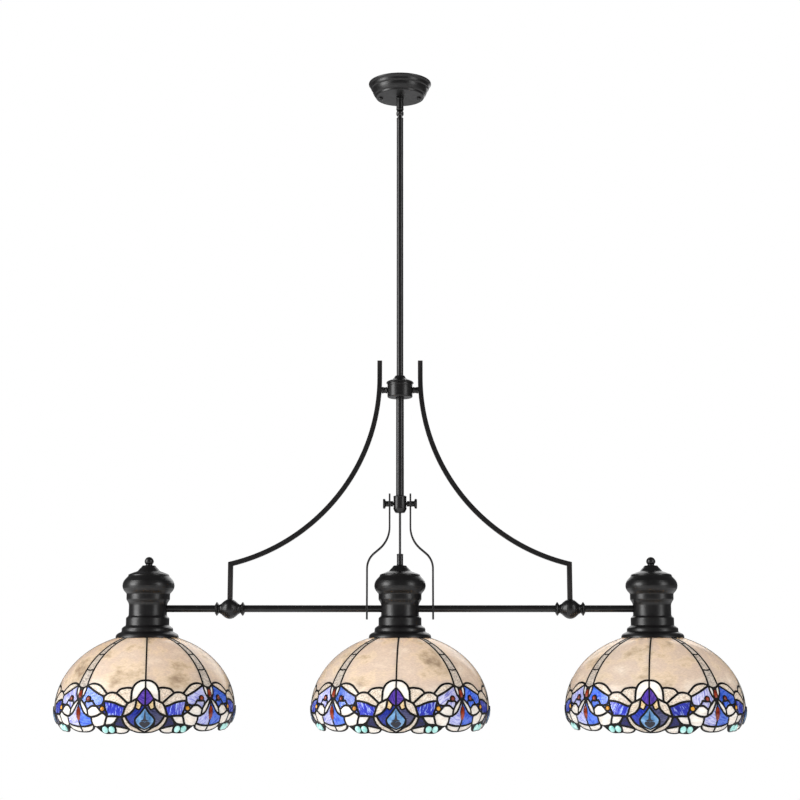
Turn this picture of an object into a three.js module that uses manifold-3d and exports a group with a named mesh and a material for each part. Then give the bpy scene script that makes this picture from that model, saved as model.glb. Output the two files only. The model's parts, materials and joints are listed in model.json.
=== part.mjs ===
// A three-light pool table lamp: a ceiling canopy with a hang-straight swivel, a stem, a hub with two curved
// arms, a horizontal bar, and three turned bells that each hold a domed glass shade and a bulb.
// Millimetres, +Z up. The origin is on the ceiling plane at the canopy's centre, and X runs along the bar.
import * as THREE from "three";
import { mergeVertices } from "three/addons/utils/BufferGeometryUtils.js";
import Module from "manifold-3d";

const wasm = await Module();
wasm.setup();

// ---- Driving dimensions ----
const GAP = 0.3; // left between pieces that meet
const PIVOT_Z = -57; // the swivel's hinge pin
const HUB_Z = -569.4; // the hub's arm stubs
const THUMB_SCREW_Z = -771.3; // the screws that hold the two straps
const BAR_Z = -953.5; // the horizontal bar
const LAMP_X = 437; // from the centre lamp to an outer lamp
const POST_X = 295; // from the centre to an arm's post and its ball connector
const NIPPLE_R = 4.9; // 1/8 IP lamp thread
const STEM_R = 6.1;
const ROD_R = 6.9;
const BAR_R = 6.05;
const TUBE_WALL = 1.4;
const CORD_R = 2.05;
const LEAD_R = 1.4;
const ARM_WIDTH = 8.5; // square section
const ARM_TOP_X = 36;
const ARM_RADIUS = 337.6;
const FITTER_TOP_Z = -879;
const FITTER_BOTTOM_Z = -1003.4;
const SHADE_EQUATOR_Z = -1124;
const SHADE_R = 152.4; // a 12 inch shade
const GLASS = 3;

const ROUND = 16; // sides of most turned pieces
const FEW = 12; // sides of small ones

// ---- Materials ----
const material = (color, roughness, metalness) =>
  new THREE.MeshStandardMaterial({ color, roughness, metalness });
const BRONZE = material(0x1d1b1c, 0.42, 0.75);
const STEEL = material(0x9a9ca0, 0.35, 0.9);
const BRASS = material(0xb08a45, 0.35, 0.9);
const PORCELAIN = material(0xe6e2d8, 0.35, 0);
const BULB_GLASS = material(0xfff2d6, 0.3, 0);
const SHADE_GLASS = material(0xd8c8b0, 0.25, 0);
const CABLE = material(0x101010, 0.6, 0);
const CONNECTOR = material(0xc46a2a, 0.5, 0);

// ---- Solids ----
// A manifold-3d solid from a closed geometry.
function solidOf(geometry) {
  const bare = geometry.index ? geometry.toNonIndexed() : geometry.clone();
  bare.deleteAttribute("normal");
  bare.deleteAttribute("uv");
  const merged = mergeVertices(bare, 1e-4);
  return new wasm.Manifold(
    new wasm.Mesh({
      numProp: 3,
      vertProperties: merged.attributes.position.array,
      triVerts: new Uint32Array(merged.index.array),
    }),
  );
}

// A geometry from a manifold-3d solid.
function geometryOf(solid) {
  const { vertProperties, triVerts, numProp, numVert } = solid.getMesh();
  const position = new Float32Array(numVert * 3);
  for (let i = 0; i < numVert; i++)
    position.set(vertProperties.subarray(i * numProp, i * numProp + 3), i * 3);
  const geometry = new THREE.BufferGeometry();
  geometry.setAttribute("position", new THREE.BufferAttribute(position, 3));
  geometry.setIndex(new THREE.BufferAttribute(triVerts, 1));
  geometry.computeVertexNormals();
  return geometry;
}

// One geometry joined with some and cut by others.
function shaped(base, { join = [], cut = [] }) {
  let solid = solidOf(base);
  for (const geometry of join) solid = solid.add(solidOf(geometry));
  for (const geometry of cut) solid = solid.subtract(solidOf(geometry));
  return geometryOf(solid);
}

// A turned piece about Z. The profile is [radius, z] points, from the top down the outside; a ring's profile
// comes back up its bore and is closed here.
function turned(profile, sides = ROUND) {
  const points = profile.map(([r, z]) => new THREE.Vector2(r, z)).reverse();
  const onAxis = profile[0][0] === 0 && profile.at(-1)[0] === 0;
  if (!onAxis) points.push(points[0].clone());
  return new THREE.LatheGeometry(points, sides).rotateX(Math.PI / 2);
}

const tube = (outer, inner, top, bottom, sides) =>
  turned([[inner, top], [outer, top], [outer, bottom], [inner, bottom]], sides);
const rod = (radius, top, bottom, sides) =>
  turned([[0, top], [radius, top], [radius, bottom], [0, bottom]], sides);

// Turns a piece made about Z so that its top points along +X (side 1) or -X (side -1).
const alongX = (geometry, side = 1) => geometry.rotateY((side * Math.PI) / 2);
const box = (x, y, z, at = [0, 0, 0]) => new THREE.BoxGeometry(x, y, z).translate(...at);

// A flat outline in X and Z, made `width` thick about Y = 0.
function plate(shape, width, curveSegments = 8) {
  return new THREE.ExtrudeGeometry(shape, { depth: width, bevelEnabled: false, curveSegments })
    .rotateX(Math.PI / 2)
    .translate(0, width / 2, 0);
}

// A round wire along a curve.
function wire(points, radius, steps) {
  const section = new THREE.Shape().absarc(0, 0, radius, 0, 2 * Math.PI, false);
  return new THREE.ExtrudeGeometry(section, {
    steps,
    curveSegments: 4,
    extrudePath: new THREE.CatmullRomCurve3(points.map((p) => new THREE.Vector3(...p))),
  });
}

const lamp = new THREE.Group();

function place(name, geometry, look, [x, y, z] = [0, 0, 0], turn = 0) {
  const mesh = new THREE.Mesh(geometry, look);
  mesh.name = name;
  mesh.position.set(x, y, z);
  mesh.rotation.z = turn;
  lamp.add(mesh);
}

// ---- Ceiling: crossbar, canopy and its screws ----
const SCREW_X = 35; // canopy screws, 70 mm apart
const CANOPY_DISC_Z = -27;
const CANOPY_SCREW_HOLE_R = 2.6;
const CROSSBAR = { length: 104, width: 18, thickness: 2.4 };

function crossbar() {
  const { length, width, thickness } = CROSSBAR;
  const depth = 3 * thickness;
  const cut = [rod(NIPPLE_R + GAP, depth, -depth)]; // the centre hole
  for (const side of [-1, 1]) {
    cut.push(rod(2.2, depth, -depth, FEW).translate(side * SCREW_X, 0, 0));
    cut.push(box(8, 4.8, 2 * depth, [side * 44.5, 0, 0])); // slots for outlet box screws
  }
  return shaped(box(length, width, thickness, [0, 0, -thickness / 2]), { cut });
}

function canopy() {
  const outside = [[57, 0], [57, -2.5], [54, -5], [52.5, -10], [50.5, -11], [50, -16], [46.5, -22.4],
    [44.6, -23], [44.3, -26], [43, CANOPY_DISC_Z]];
  const inside = [[NIPPLE_R + GAP, CANOPY_DISC_Z], [NIPPLE_R + GAP, -25.5], [42.6, -25.5], [45, -21],
    [48.4, -15.4], [49.2, -9.7], [52.4, -4.6], [55.4, -1.8], [55.4, 0]];
  const holes = [-1, 1].map((side) =>
    rod(CANOPY_SCREW_HOLE_R, CANOPY_DISC_Z + 5, CANOPY_DISC_Z - 5, FEW).translate(side * SCREW_X, 0, 0));
  return shaped(turned([...outside, ...inside], 20), { cut: holes });
}

const canopyScrew = () =>
  turned([[0, -0.4], [1.9, -0.4], [1.9, CANOPY_DISC_Z - GAP], [4.2, CANOPY_DISC_Z - GAP], [4.0, -28.8],
    [2.8, -30.4], [0, -31]], FEW);

place("crossbar", crossbar(), STEEL);
place("canopy", canopy(), BRONZE);
place("canopy_screw_left", canopyScrew(), BRONZE, [-SCREW_X, 0, 0]);
place("canopy_screw_right", canopyScrew(), BRONZE, [SCREW_X, 0, 0]);

// ---- Ceiling: nipple, nut, collar and supply leads ----
const COLLAR_BOTTOM_Z = -50;

function locknut() {
  return shaped(new THREE.CylinderGeometry(9, 9, 4.4, 6).rotateX(Math.PI / 2), {
    cut: [rod(NIPPLE_R + GAP, 5, -5)],
  });
}

// One of the two supply leads, from inside the nipple to its wire connector.
function supplyLead(side) {
  const points = [[1.6, 0, -26], [1.6, -0.4, -16], [3.5, -4, -10.5], [8.5, -11, -10], [12.4, -17, -11.6],
    [13, -24, -12]];
  return wire(points.map(([x, y, z]) => [side * x, y, z]), 1.1, 10);
}

// A screw-on connector with a blind bore for the lead, its mouth towards the nipple.
function wireConnector() {
  return turned([[0, -8], [1.7, -8], [1.7, 0], [5.6, 0], [5.6, -3], [4.4, -17], [0, -18.5]], FEW)
    .rotateX(-Math.PI / 2);
}

place("canopy_nipple", tube(NIPPLE_R, 3.2, -17.5, -33), STEEL);
place("canopy_locknut", locknut(), STEEL, [0, 0, -22.9]);
place("swivel_collar", tube(6.7, NIPPLE_R + GAP, CANOPY_DISC_Z - GAP, COLLAR_BOTTOM_Z), BRONZE);
place("supply_lead_live", supplyLead(1), CABLE);
place("supply_lead_neutral", supplyLead(-1), CABLE);
place("wire_nut_live", wireConnector(), CONNECTOR, [13, -20, -12]);
place("wire_nut_neutral", wireConnector(), CONNECTOR, [-13, -20, -12]);

// ---- Swivel: a ball in two halves on a pin along X ----
const BALL_R = 7;
const TONGUE_R = 5.2;
const TONGUE_HALF = 3.2;
const PIN_R = 1.7;
const SHOULDER_TOP = -7.6; // below the pin
const SHOULDER_BOTTOM = -10;

const pinHole = () => alongX(rod(PIN_R + GAP, 20, -20, FEW));

function knuckleUpper() {
  const slot = box(2 * (TONGUE_HALF + GAP), 30, 20, [0, 0, TONGUE_R + GAP - 10]);
  return shaped(new THREE.SphereGeometry(BALL_R, ROUND, 8).rotateX(Math.PI / 2), {
    join: [rod(6.2, 6.8, 3.5), rod(NIPPLE_R, 21, 5)],
    cut: [slot, pinHole()],
  });
}

function knuckleLower() {
  return shaped(alongX(rod(TONGUE_R, TONGUE_HALF, -TONGUE_HALF)), {
    join: [
      box(2 * TONGUE_HALF, 2 * TONGUE_HALF, 8.5, [0, 0, -4.25]),
      turned([[0, SHOULDER_TOP], [4.6, SHOULDER_TOP], [STEM_R, -8.8], [STEM_R, SHOULDER_BOTTOM],
        [4.4, SHOULDER_BOTTOM], [4.4, -24], [0, -24]]),
    ],
    cut: [pinHole()],
  });
}

place("knuckle_upper", knuckleUpper(), BRONZE, [0, 0, PIVOT_Z]);
place("knuckle_pin", alongX(rod(PIN_R, 6.3, -6.3, FEW)), STEEL, [0, 0, PIVOT_Z]);
place("knuckle_lower", knuckleLower(), BRONZE, [0, 0, PIVOT_Z]);

// ---- Stem and hub ----
const STEM_TOP_Z = PIVOT_Z + SHOULDER_BOTTOM - GAP;
const STEM_BOTTOM_Z = -563;
const ROD_TOP_Z = -568;
const ROD_BOTTOM_Z = -765;
const HUB_R = 22.3;
const HUB_BOTTOM_Z = -583;
const STUB_SPIGOT_R = 4;

const hubCap = () =>
  turned([[STEM_R + GAP, -543.6], [8.6, -543.9], [12.4, -549.2], [21.6, -553.8], [24.3, -556.2],
    [24.3, -557.5], [20, -557.5], [9, -550.4], [STEM_R + GAP, -549.6]]);

function hubBody() {
  const cup = turned([[HUB_R, -557.8], [HUB_R, -581.8], [21.2, HUB_BOTTOM_Z], [ROD_R + GAP, HUB_BOTTOM_Z],
    [ROD_R + GAP, -580.5], [20, -580.5], [20, -557.8]]);
  const stubHoles = alongX(rod(STUB_SPIGOT_R + GAP, 40, -40, FEW)).translate(0, 0, HUB_Z);
  return shaped(cup, { cut: [stubHoles] });
}

// The sleeve in the hub that joins the stem to the lower rod.
const hubCoupling = () =>
  turned([[STEM_R + GAP, -554], [10.5, -554], [10.5, -580.2], [ROD_R + GAP, -580.2], [ROD_R + GAP, -567.6],
    [3.2, -567.6], [3.2, -563.4], [STEM_R + GAP, -563.4]]);

// The spacer between the hub and an arm, with the spigot that passes through the hub's wall.
const hubStub = (side) =>
  alongX(turned([[0, ARM_TOP_X - ARM_WIDTH / 2 - GAP], [5.8, ARM_TOP_X - ARM_WIDTH / 2 - GAP],
    [5.8, HUB_R + GAP], [STUB_SPIGOT_R, HUB_R + GAP], [STUB_SPIGOT_R, 15], [0, 15]], FEW), side);

place("stem_tube", tube(STEM_R, STEM_R - TUBE_WALL, STEM_TOP_Z, STEM_BOTTOM_Z), BRONZE);
place("hub_cap", hubCap(), BRONZE);
place("hub_body", hubBody(), BRONZE);
place("hub_coupling", hubCoupling(), STEEL);
place("hub_stub_left", hubStub(-1), BRONZE, [0, 0, HUB_Z]);
place("hub_stub_right", hubStub(1), BRONZE, [0, 0, HUB_Z]);
place("lower_rod", tube(ROD_R, ROD_R - TUBE_WALL, ROD_TOP_Z, ROD_BOTTOM_Z), BRONZE);

// ---- Curved arms ----
const ARM_TOP_Z = -516.4;
const ARM_BEND_Z = -548; // where the arc starts
const POST_BOTTOM_Z = -944.6;

// Square bar: a short upright, an arc that sweeps out to the mitred corner, and the post down to the ball.
function arm(side) {
  const half = ARM_WIDTH / 2;
  const centreX = ARM_TOP_X + ARM_RADIUS;
  const angleAt = (x, radius) => Math.acos((centreX - x) / radius);
  const inner = ARM_RADIUS + half;
  const outer = ARM_RADIUS - half;
  const innerEnd = angleAt(POST_X - half, inner);
  const outerEnd = angleAt(POST_X + half, outer);
  const shape = new THREE.Shape();
  shape.moveTo(ARM_TOP_X - half, ARM_TOP_Z);
  shape.absarc(centreX, ARM_BEND_Z, inner, Math.PI, Math.PI + innerEnd, false);
  shape.lineTo(POST_X - half, POST_BOTTOM_Z);
  shape.lineTo(POST_X + half, POST_BOTTOM_Z);
  shape.absarc(centreX, ARM_BEND_Z, outer, Math.PI + outerEnd, Math.PI, true);
  shape.lineTo(ARM_TOP_X + half, ARM_TOP_Z);
  const geometry = plate(shape, ARM_WIDTH, 16);
  return side > 0 ? geometry : geometry.rotateZ(Math.PI);
}

place("arm_left", arm(-1), BRONZE);
place("arm_right", arm(1), BRONZE);

// ---- Strap knuckle, thumb screws and straps ----
const STRAP = { thickness: 2.6, width: 18, topX: 18.2, bottomX: 57.4, topZ: -754, bottomZ: -972 };
const STRAP_BEND = { z: -812, angle: (50 * Math.PI) / 180, first: 50, straight: 12, second: 34 };
const THUMB_R = 2.8; // the thumb screw's shank

function strapKnuckle() {
  const body = turned([[ROD_R + GAP, -757.3], [10.6, -757.3], [11.6, -758.6], [11.6, -780], [10.9, -781.6],
    [7.9, -787.3], [CORD_R + GAP, -787.3], [CORD_R + GAP, ROD_BOTTOM_Z - GAP],
    [ROD_R + GAP, ROD_BOTTOM_Z - GAP]]);
  const screwHoles = [-1, 1].map((side) =>
    alongX(rod(THUMB_R + GAP, 20, 5, FEW), side).translate(0, 0, THUMB_SCREW_Z));
  return shaped(body, { cut: screwHoles });
}

// The strap's centre line as an offset outline: down, out along an S bend, and down past the bar.
function strap(side) {
  const half = STRAP.thickness / 2;
  const { angle, first, straight, second } = STRAP_BEND;
  const shape = new THREE.Shape();
  const firstCentre = [STRAP.topX + first, STRAP_BEND.z];
  const leave = [firstCentre[0] - first * Math.cos(angle), STRAP_BEND.z - first * Math.sin(angle)];
  const arrive = [leave[0] + straight * Math.sin(angle), leave[1] - straight * Math.cos(angle)];
  const secondCentre = [arrive[0] - second * Math.cos(angle), arrive[1] - second * Math.sin(angle)];
  const bottomX = secondCentre[0] + second;
  shape.moveTo(STRAP.topX - half, STRAP.topZ);
  shape.absarc(...firstCentre, first + half, Math.PI, Math.PI + angle, false);
  shape.absarc(...secondCentre, second - half, angle, 0, true);
  shape.lineTo(bottomX - half, STRAP.bottomZ);
  shape.lineTo(bottomX + half, STRAP.bottomZ);
  shape.absarc(...secondCentre, second + half, 0, angle, false);
  shape.absarc(...firstCentre, first - half, Math.PI + angle, Math.PI, true);
  shape.lineTo(STRAP.topX + half, STRAP.topZ);
  const holes = [
    alongX(rod(THUMB_R + GAP, 30, 10, FEW)).translate(0, 0, THUMB_SCREW_Z),
    alongX(rod(BAR_R + GAP, 70, 45)).translate(0, 0, BAR_Z),
  ];
  const geometry = shaped(plate(shape, STRAP.width, 5), { cut: holes });
  return side > 0 ? geometry : geometry.rotateZ(Math.PI);
}

const STRAP_INNER_X = STRAP.topX - STRAP.thickness / 2 - GAP;
const STRAP_OUTER_X = STRAP.topX + STRAP.thickness / 2 + GAP;

const strapSpacer = (side) => alongX(tube(3.9, THUMB_R + GAP, STRAP_INNER_X, 11.6 + GAP, FEW), side);

// A knob with a narrow waist and a flat flange, and the shank that goes through strap and spacer.
const thumbScrew = (side) =>
  alongX(turned([[0, 29.8], [7.8, 29.8], [8.6, 29], [8.6, 26.2], [7.8, 25.4], [4.4, 24.6],
    [4.4, 22.6], [5.2, 21.8], [5.2, STRAP_OUTER_X], [THUMB_R, STRAP_OUTER_X], [THUMB_R, 7], [0, 7]], FEW), side);

place("strap_knuckle", strapKnuckle(), BRONZE);
for (const [side, word] of [[-1, "left"], [1, "right"]]) {
  place(`strap_spacer_${word}`, strapSpacer(side), BRONZE, [0, 0, THUMB_SCREW_Z]);
  place(`thumb_screw_${word}`, thumbScrew(side), BRONZE, [0, 0, THUMB_SCREW_Z]);
  place(`strap_${word}`, strap(side), BRONZE);
}

// ---- Horizontal bar ----
const CONNECTOR_WEB = 6; // half the solid middle of a ball connector
const WAIST_WALL_X = 30.4; // where a bar ends inside a bell's waist

function ballConnector() {
  const half = [[0, 17.3], [5, 16.5], [9.5, 13.7], [13.5, 9.7], [18.2, 7.35], [21.8, 11.8], [23.3, 11.8],
    [25.6, 7.4]]; // [along the bar, radius]
  const outside = [
    ...half.slice(1).reverse().map(([s, r]) => [r, s]),
    ...half.map(([s, r]) => [r, -s]),
  ];
  const bore = BAR_R + GAP;
  const end = half.at(-1)[0];
  const inside = [[bore, -end], [bore, -CONNECTOR_WEB], [3.5, -CONNECTOR_WEB], [3.5, CONNECTOR_WEB],
    [bore, CONNECTOR_WEB], [bore, end]];
  const postSocket = box(ARM_WIDTH + 2 * GAP, ARM_WIDTH + 2 * GAP, 20, [0, 0, 18.6]);
  return shaped(alongX(turned([...outside, ...inside])), { cut: [postSocket] });
}

const barTube = (from, to, side) => alongX(tube(BAR_R, BAR_R - TUBE_WALL, to, from), side);
const lampLead = (side) => alongX(rod(LEAD_R, LAMP_X - 8, 8, 8), side);

for (const [side, word] of [[-1, "left"], [1, "right"]]) {
  const inner = POST_X - CONNECTOR_WEB - GAP;
  const outer = POST_X + CONNECTOR_WEB + GAP;
  place(`inner_bar_${word}`, barTube(WAIST_WALL_X, inner, side), BRONZE, [0, 0, BAR_Z]);
  place(`outer_bar_${word}`, barTube(outer, LAMP_X - WAIST_WALL_X, side), BRONZE, [0, 0, BAR_Z]);
  place(`ball_connector_${word}`, ballConnector(), BRONZE, [side * POST_X, 0, BAR_Z]);
  place(`lamp_lead_${word}`, lampLead(side), CABLE, [0, 0, BAR_Z]);
}

// ---- Lamps: bell, finial or cord tube, socket, cap, ring, shade, bulb ----
const STUD_R = 4.8;
const STUD_BOTTOM_Z = -957;
const SOCKET_R = 20; // its threaded skirt
const SOCKET_BORE_R = 14;

// The turned bell over a lamp, with bar holes on the sides named in `holes`.
function fitter(holes) {
  const outside = [[STUD_R + GAP, FITTER_TOP_Z], [10.6, FITTER_TOP_Z], [19.6, -889], [35, -895.4],
    [36.2, -897.6], [42.8, -905.6], [44.7, -914], [43.4, -920.4], [37.3, -927.6], [37.3, -938],
    [32.7, -946], [32.7, -964.6], [37.1, -970], [37.1, -981.6], [43.4, -987.6], [44, -991.6],
    [50.6, -995], [53.9, -1001], [53.9, FITTER_BOTTOM_Z]];
  const inside = [[52.3, FITTER_BOTTOM_Z], [49.2, -997], [42.2, -993], [35.4, -983], [35.4, -971.2],
    [31.1, -966], [31.1, -946], [35.6, -937], [35.6, -928.4], [42.4, -914], [34.6, -898.4],
    [18, -891], [9.6, -881.4], [STUD_R + GAP, -881.4]];
  return shaped(turned([...outside, ...inside]), {
    cut: holes.map((side) => alongX(rod(BAR_R + GAP, 50, 20), side).translate(0, 0, BAR_Z)),
  });
}

// The ball on top of an outer lamp, and the stud below it that carries the socket.
const finial = () =>
  turned([[0, -864.2], [4.4, -865.4], [7.4, -868.8], [8, -872.2], [6, -877.4], [6, FITTER_TOP_Z + GAP],
    [STUD_R, FITTER_TOP_Z + GAP], [STUD_R, STUD_BOTTOM_Z], [0, STUD_BOTTOM_Z]], FEW);

// The tube that the cord enters on top of the centre lamp; it carries that lamp's socket.
const cordTube = () =>
  turned([[CORD_R + GAP, -858.7], [5, -858.7], [5.8, -859.6], [5.8, FITTER_TOP_Z + GAP],
    [STUD_R, FITTER_TOP_Z + GAP], [STUD_R, STUD_BOTTOM_Z], [CORD_R + GAP, STUD_BOTTOM_Z]], FEW);

const socket = () =>
  turned([[0, -966], [STUD_R + GAP, -966], [STUD_R + GAP, -960], [13, -960], [17, -964], [17, -990],
    [24, -995.6], [24, -998.6], [SOCKET_R, -998.6], [SOCKET_R, -1014], [SOCKET_BORE_R, -1014],
    [SOCKET_BORE_R, -984], [0, -984]]);

// The spun cap that lies on the glass round its top opening.
const shadeCap = () =>
  turned([[SOCKET_R + GAP, -999], [41, -999], [50, -1001.2], [50, -1002.4], [42, -1000.4],
    [SOCKET_R + GAP, -1000.4]]);

const shadeRing = () =>
  turned([[SOCKET_R + GAP, -1000.7], [27, -1000.7], [29, -1002], [29, -1007], [26, -1008.6],
    [SOCKET_R + GAP, -1008.6]]);

// Where the glass's lower edge is, [degrees from a front panel's centre, height above the lowest point].
const SCALLOPS = [[0, 0], [10.5, 5], [15.5, 0], [27.5, 1], [31.3, 10], [45, 0]];
const SHADE_TOP_R = 44;
const SHADE_BOTTOM_Z = -1155.4;

// The shade: a flattened dome above its equator and a shorter curve below it, with a scalloped edge.
function shade() {
  const UPPER = 128;
  const LOWER = 80;
  const ROWS = 5;
  const point = (degrees, polar, inset) => {
    const azimuth = (degrees * Math.PI) / 180;
    const height = polar < Math.PI / 2 ? UPPER : LOWER;
    const r = (SHADE_R - inset) * Math.sin(polar);
    const z = SHADE_EQUATOR_Z + (height - inset) * Math.cos(polar);
    return [r * Math.sin(azimuth), -r * Math.cos(azimuth), z];
  };
  // One repeat is a quarter turn: the scallops, and then the same ones mirrored.
  const quarter = [...SCALLOPS, ...SCALLOPS.slice(1, -1).reverse().map(([a, h]) => [90 - a, h])];
  const columns = [0, 90, 180, 270].flatMap((start) => quarter.map(([a, h]) => [start + a, h]));
  const top = Math.asin(SHADE_TOP_R / SHADE_R);
  const vertices = [];
  for (const [degrees, rise] of columns) {
    const bottom = Math.acos((SHADE_BOTTOM_Z + rise - SHADE_EQUATOR_Z) / LOWER);
    for (const inset of [0, GLASS])
      for (let row = 0; row <= ROWS; row++) {
        const share = (inset ? ROWS - row : row) / ROWS;
        vertices.push(...point(degrees, top + (bottom - top) * share, inset));
      }
  }
  const loop = 2 * (ROWS + 1); // down the outside and up the inside
  const index = [];
  columns.forEach((_, column) => {
    const a = column * loop;
    const b = ((column + 1) % columns.length) * loop;
    for (let row = 0; row < loop; row++) {
      const next = (row + 1) % loop;
      index.push(a + row, a + next, b + row, b + row, a + next, b + next);
    }
  });
  const geometry = new THREE.BufferGeometry();
  geometry.setAttribute("position", new THREE.Float32BufferAttribute(vertices, 3));
  geometry.setIndex(index);
  geometry.computeVertexNormals();
  return geometry;
}

// A bulb with a screw base: a thin shell, open at the contact's centre.
function bulb() {
  const outside = [[0, -985], [4, -985.3], [5, -987.6], [13, -990], [13, -1015], [21, -1031], [28.4, -1049],
    [30, -1064], [26.6, -1086], [14, -1099.4], [0, -1102.4]];
  const inside = [[0, -980], [1.2, -980], [1.2, -992], [11, -992.6], [11, -1015], [19, -1031.6],
    [26.6, -1050], [28, -1064], [24.8, -1085], [13, -1097.2], [0, -1100.2]];
  return shaped(turned(outside, FEW), { cut: [turned(inside, FEW)] });
}

const degrees = (angle) => (angle * Math.PI) / 180;
// Each shade is clamped with a front panel turned this far about Z.
const LAMPS = [
  { word: "left", x: -LAMP_X, bars: [1], turn: degrees(7) },
  { word: "centre", x: 0, bars: [-1, 1], turn: degrees(-2.5) },
  { word: "right", x: LAMP_X, bars: [-1], turn: degrees(-12) },
];
for (const { word, x, bars, turn } of LAMPS) {
  const at = [x, 0, 0];
  place(`fitter_${word}`, fitter(bars), BRONZE, at);
  place(`socket_${word}`, socket(), PORCELAIN, at);
  place(`shade_cap_${word}`, shadeCap(), BRASS, at);
  place(`shade_ring_${word}`, shadeRing(), BRASS, at);
  place(`shade_${word}`, shade(), SHADE_GLASS, at, turn);
  place(`bulb_${word}`, bulb(), BULB_GLASS, at);
  if (x === 0) place("cord_tube", cordTube(), BRONZE, at);
  else place(`finial_${word}`, finial(), BRONZE, at);
}

// The cord that feeds the lamps, straight from the hub through the lower rod and knuckle into the centre lamp.
place("pendant_cord", rod(CORD_R, -570, -955, 10), CABLE);

export default lamp;
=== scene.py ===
"""The looks of a pool table lamp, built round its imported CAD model. Blender works in metres; sizes here are
in millimetres, and mm() turns them into metres. +Z is up and the bar runs along X."""
import json
import math
import random

import bmesh
import bpy
from mathutils import Matrix, Vector, geometry

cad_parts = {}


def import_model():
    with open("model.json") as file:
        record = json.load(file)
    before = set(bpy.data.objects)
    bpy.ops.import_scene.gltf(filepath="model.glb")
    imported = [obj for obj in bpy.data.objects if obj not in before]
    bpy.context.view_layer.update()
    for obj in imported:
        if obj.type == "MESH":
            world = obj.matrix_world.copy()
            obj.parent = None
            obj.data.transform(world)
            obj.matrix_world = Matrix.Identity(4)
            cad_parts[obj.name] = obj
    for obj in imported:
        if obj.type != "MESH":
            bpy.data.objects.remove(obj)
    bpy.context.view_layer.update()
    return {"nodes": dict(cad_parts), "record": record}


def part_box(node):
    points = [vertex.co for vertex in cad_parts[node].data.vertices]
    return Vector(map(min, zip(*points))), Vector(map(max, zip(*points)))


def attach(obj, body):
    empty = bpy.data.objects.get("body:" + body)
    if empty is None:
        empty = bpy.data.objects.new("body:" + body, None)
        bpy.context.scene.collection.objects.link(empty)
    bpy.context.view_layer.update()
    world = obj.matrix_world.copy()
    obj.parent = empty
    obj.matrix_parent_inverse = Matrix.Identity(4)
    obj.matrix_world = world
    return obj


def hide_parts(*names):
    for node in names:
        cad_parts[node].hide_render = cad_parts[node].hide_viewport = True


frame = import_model()

BULB_STRENGTH = 11.5
LAMPS = ("left", "centre", "right")
SIDES = {"left": -1, "right": 1}


def mm(*values):
    """Millimetres to metres: one number, or a vector from three."""
    return values[0] / 1000 if len(values) == 1 else Vector(values) / 1000


def box_mm(node):
    """A CAD node's lowest and highest corners, in millimetres."""
    low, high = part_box(node)
    return low * 1000, high * 1000


def middle(node):
    """The middle of a CAD node's box, in millimetres."""
    low, high = box_mm(node)
    return (low + high) / 2


# ---- Material nodes ----
class Look:
    """A material under construction: short calls that add and link shader nodes."""

    def __init__(self, name, **settings):
        self.material = bpy.data.materials.new(name)
        self.material.use_nodes = True
        self.tree = self.material.node_tree
        self.shader = self.tree.nodes["Principled BSDF"]
        self.output = self.tree.nodes["Material Output"]
        for socket, value in settings.items():
            self.set(socket.replace("_", " "), value)

    def set(self, socket, value):
        if isinstance(value, tuple) and len(value) == 3:
            value = (*value, 1.0)
        self.shader.inputs[socket].default_value = value

    def node(self, kind, **values):
        made = self.tree.nodes.new(kind)
        for key, value in values.items():
            if hasattr(made, key):
                setattr(made, key, value)
            else:
                made.inputs[key.replace("_", " ")].default_value = value
        return made

    def link(self, a, b):
        self.tree.links.new(a, b)

    def place(self, scale=(1, 1, 1), kind="Object"):
        """Object coordinates in metres, or the piece's own UV map, scaled."""
        coordinates = self.node("ShaderNodeTexCoord")
        mapping = self.node("ShaderNodeMapping")
        mapping.inputs["Scale"].default_value = scale
        self.link(coordinates.outputs[kind], mapping.inputs["Vector"])
        return mapping.outputs["Vector"]

    def noise(self, scale, detail=4.0, roughness=0.55, at=None, distortion=0.0):
        made = self.node("ShaderNodeTexNoise", Scale=scale, Detail=detail, Roughness=roughness,
                         Distortion=distortion)
        self.link(at or self.place(), made.inputs["Vector"])
        return made.outputs["Fac"]

    def ramp(self, value, *stops):
        """Colours or greys along a value, as (position, colour) stops."""
        made = self.node("ShaderNodeValToRGB")
        elements = made.color_ramp.elements
        while len(elements) < len(stops):
            elements.new(0.5)
        for element, (position, colour) in zip(elements, stops):
            element.position = position
            if not isinstance(colour, tuple):
                colour = (colour, colour, colour)
            element.color = (*colour, 1.0)
        self.link(value, made.inputs["Fac"])
        return made.outputs["Color"]

    def mix(self, share, a, b, blend="MIX"):
        """Two colours mixed; each input is a socket, a colour or a number."""
        made = self.node("ShaderNodeMix", data_type="RGBA", blend_type=blend)
        for socket, value in ((made.inputs[0], share), (made.inputs[6], a), (made.inputs[7], b)):
            if isinstance(value, bpy.types.NodeSocket):
                self.link(value, socket)
            elif isinstance(value, tuple):
                socket.default_value = (*value, 1.0)
            else:
                socket.default_value = value
        return made.outputs[2]

    def bump(self, height, distance, strength=1.0):
        made = self.node("ShaderNodeBump", Distance=distance, Strength=strength)
        self.link(height, made.inputs["Height"])
        self.link(made.outputs["Normal"], self.shader.inputs["Normal"])

    def feed(self, socket, value):
        self.link(value, self.shader.inputs[socket])

    def edge_wear(self, low=0.52, high=0.6):
        """1 along outside edges, 0 elsewhere."""
        worn = self.node("ShaderNodeNewGeometry").outputs["Pointiness"]
        return self.ramp(worn, (low, 0.0), (high, 1.0))


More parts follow.
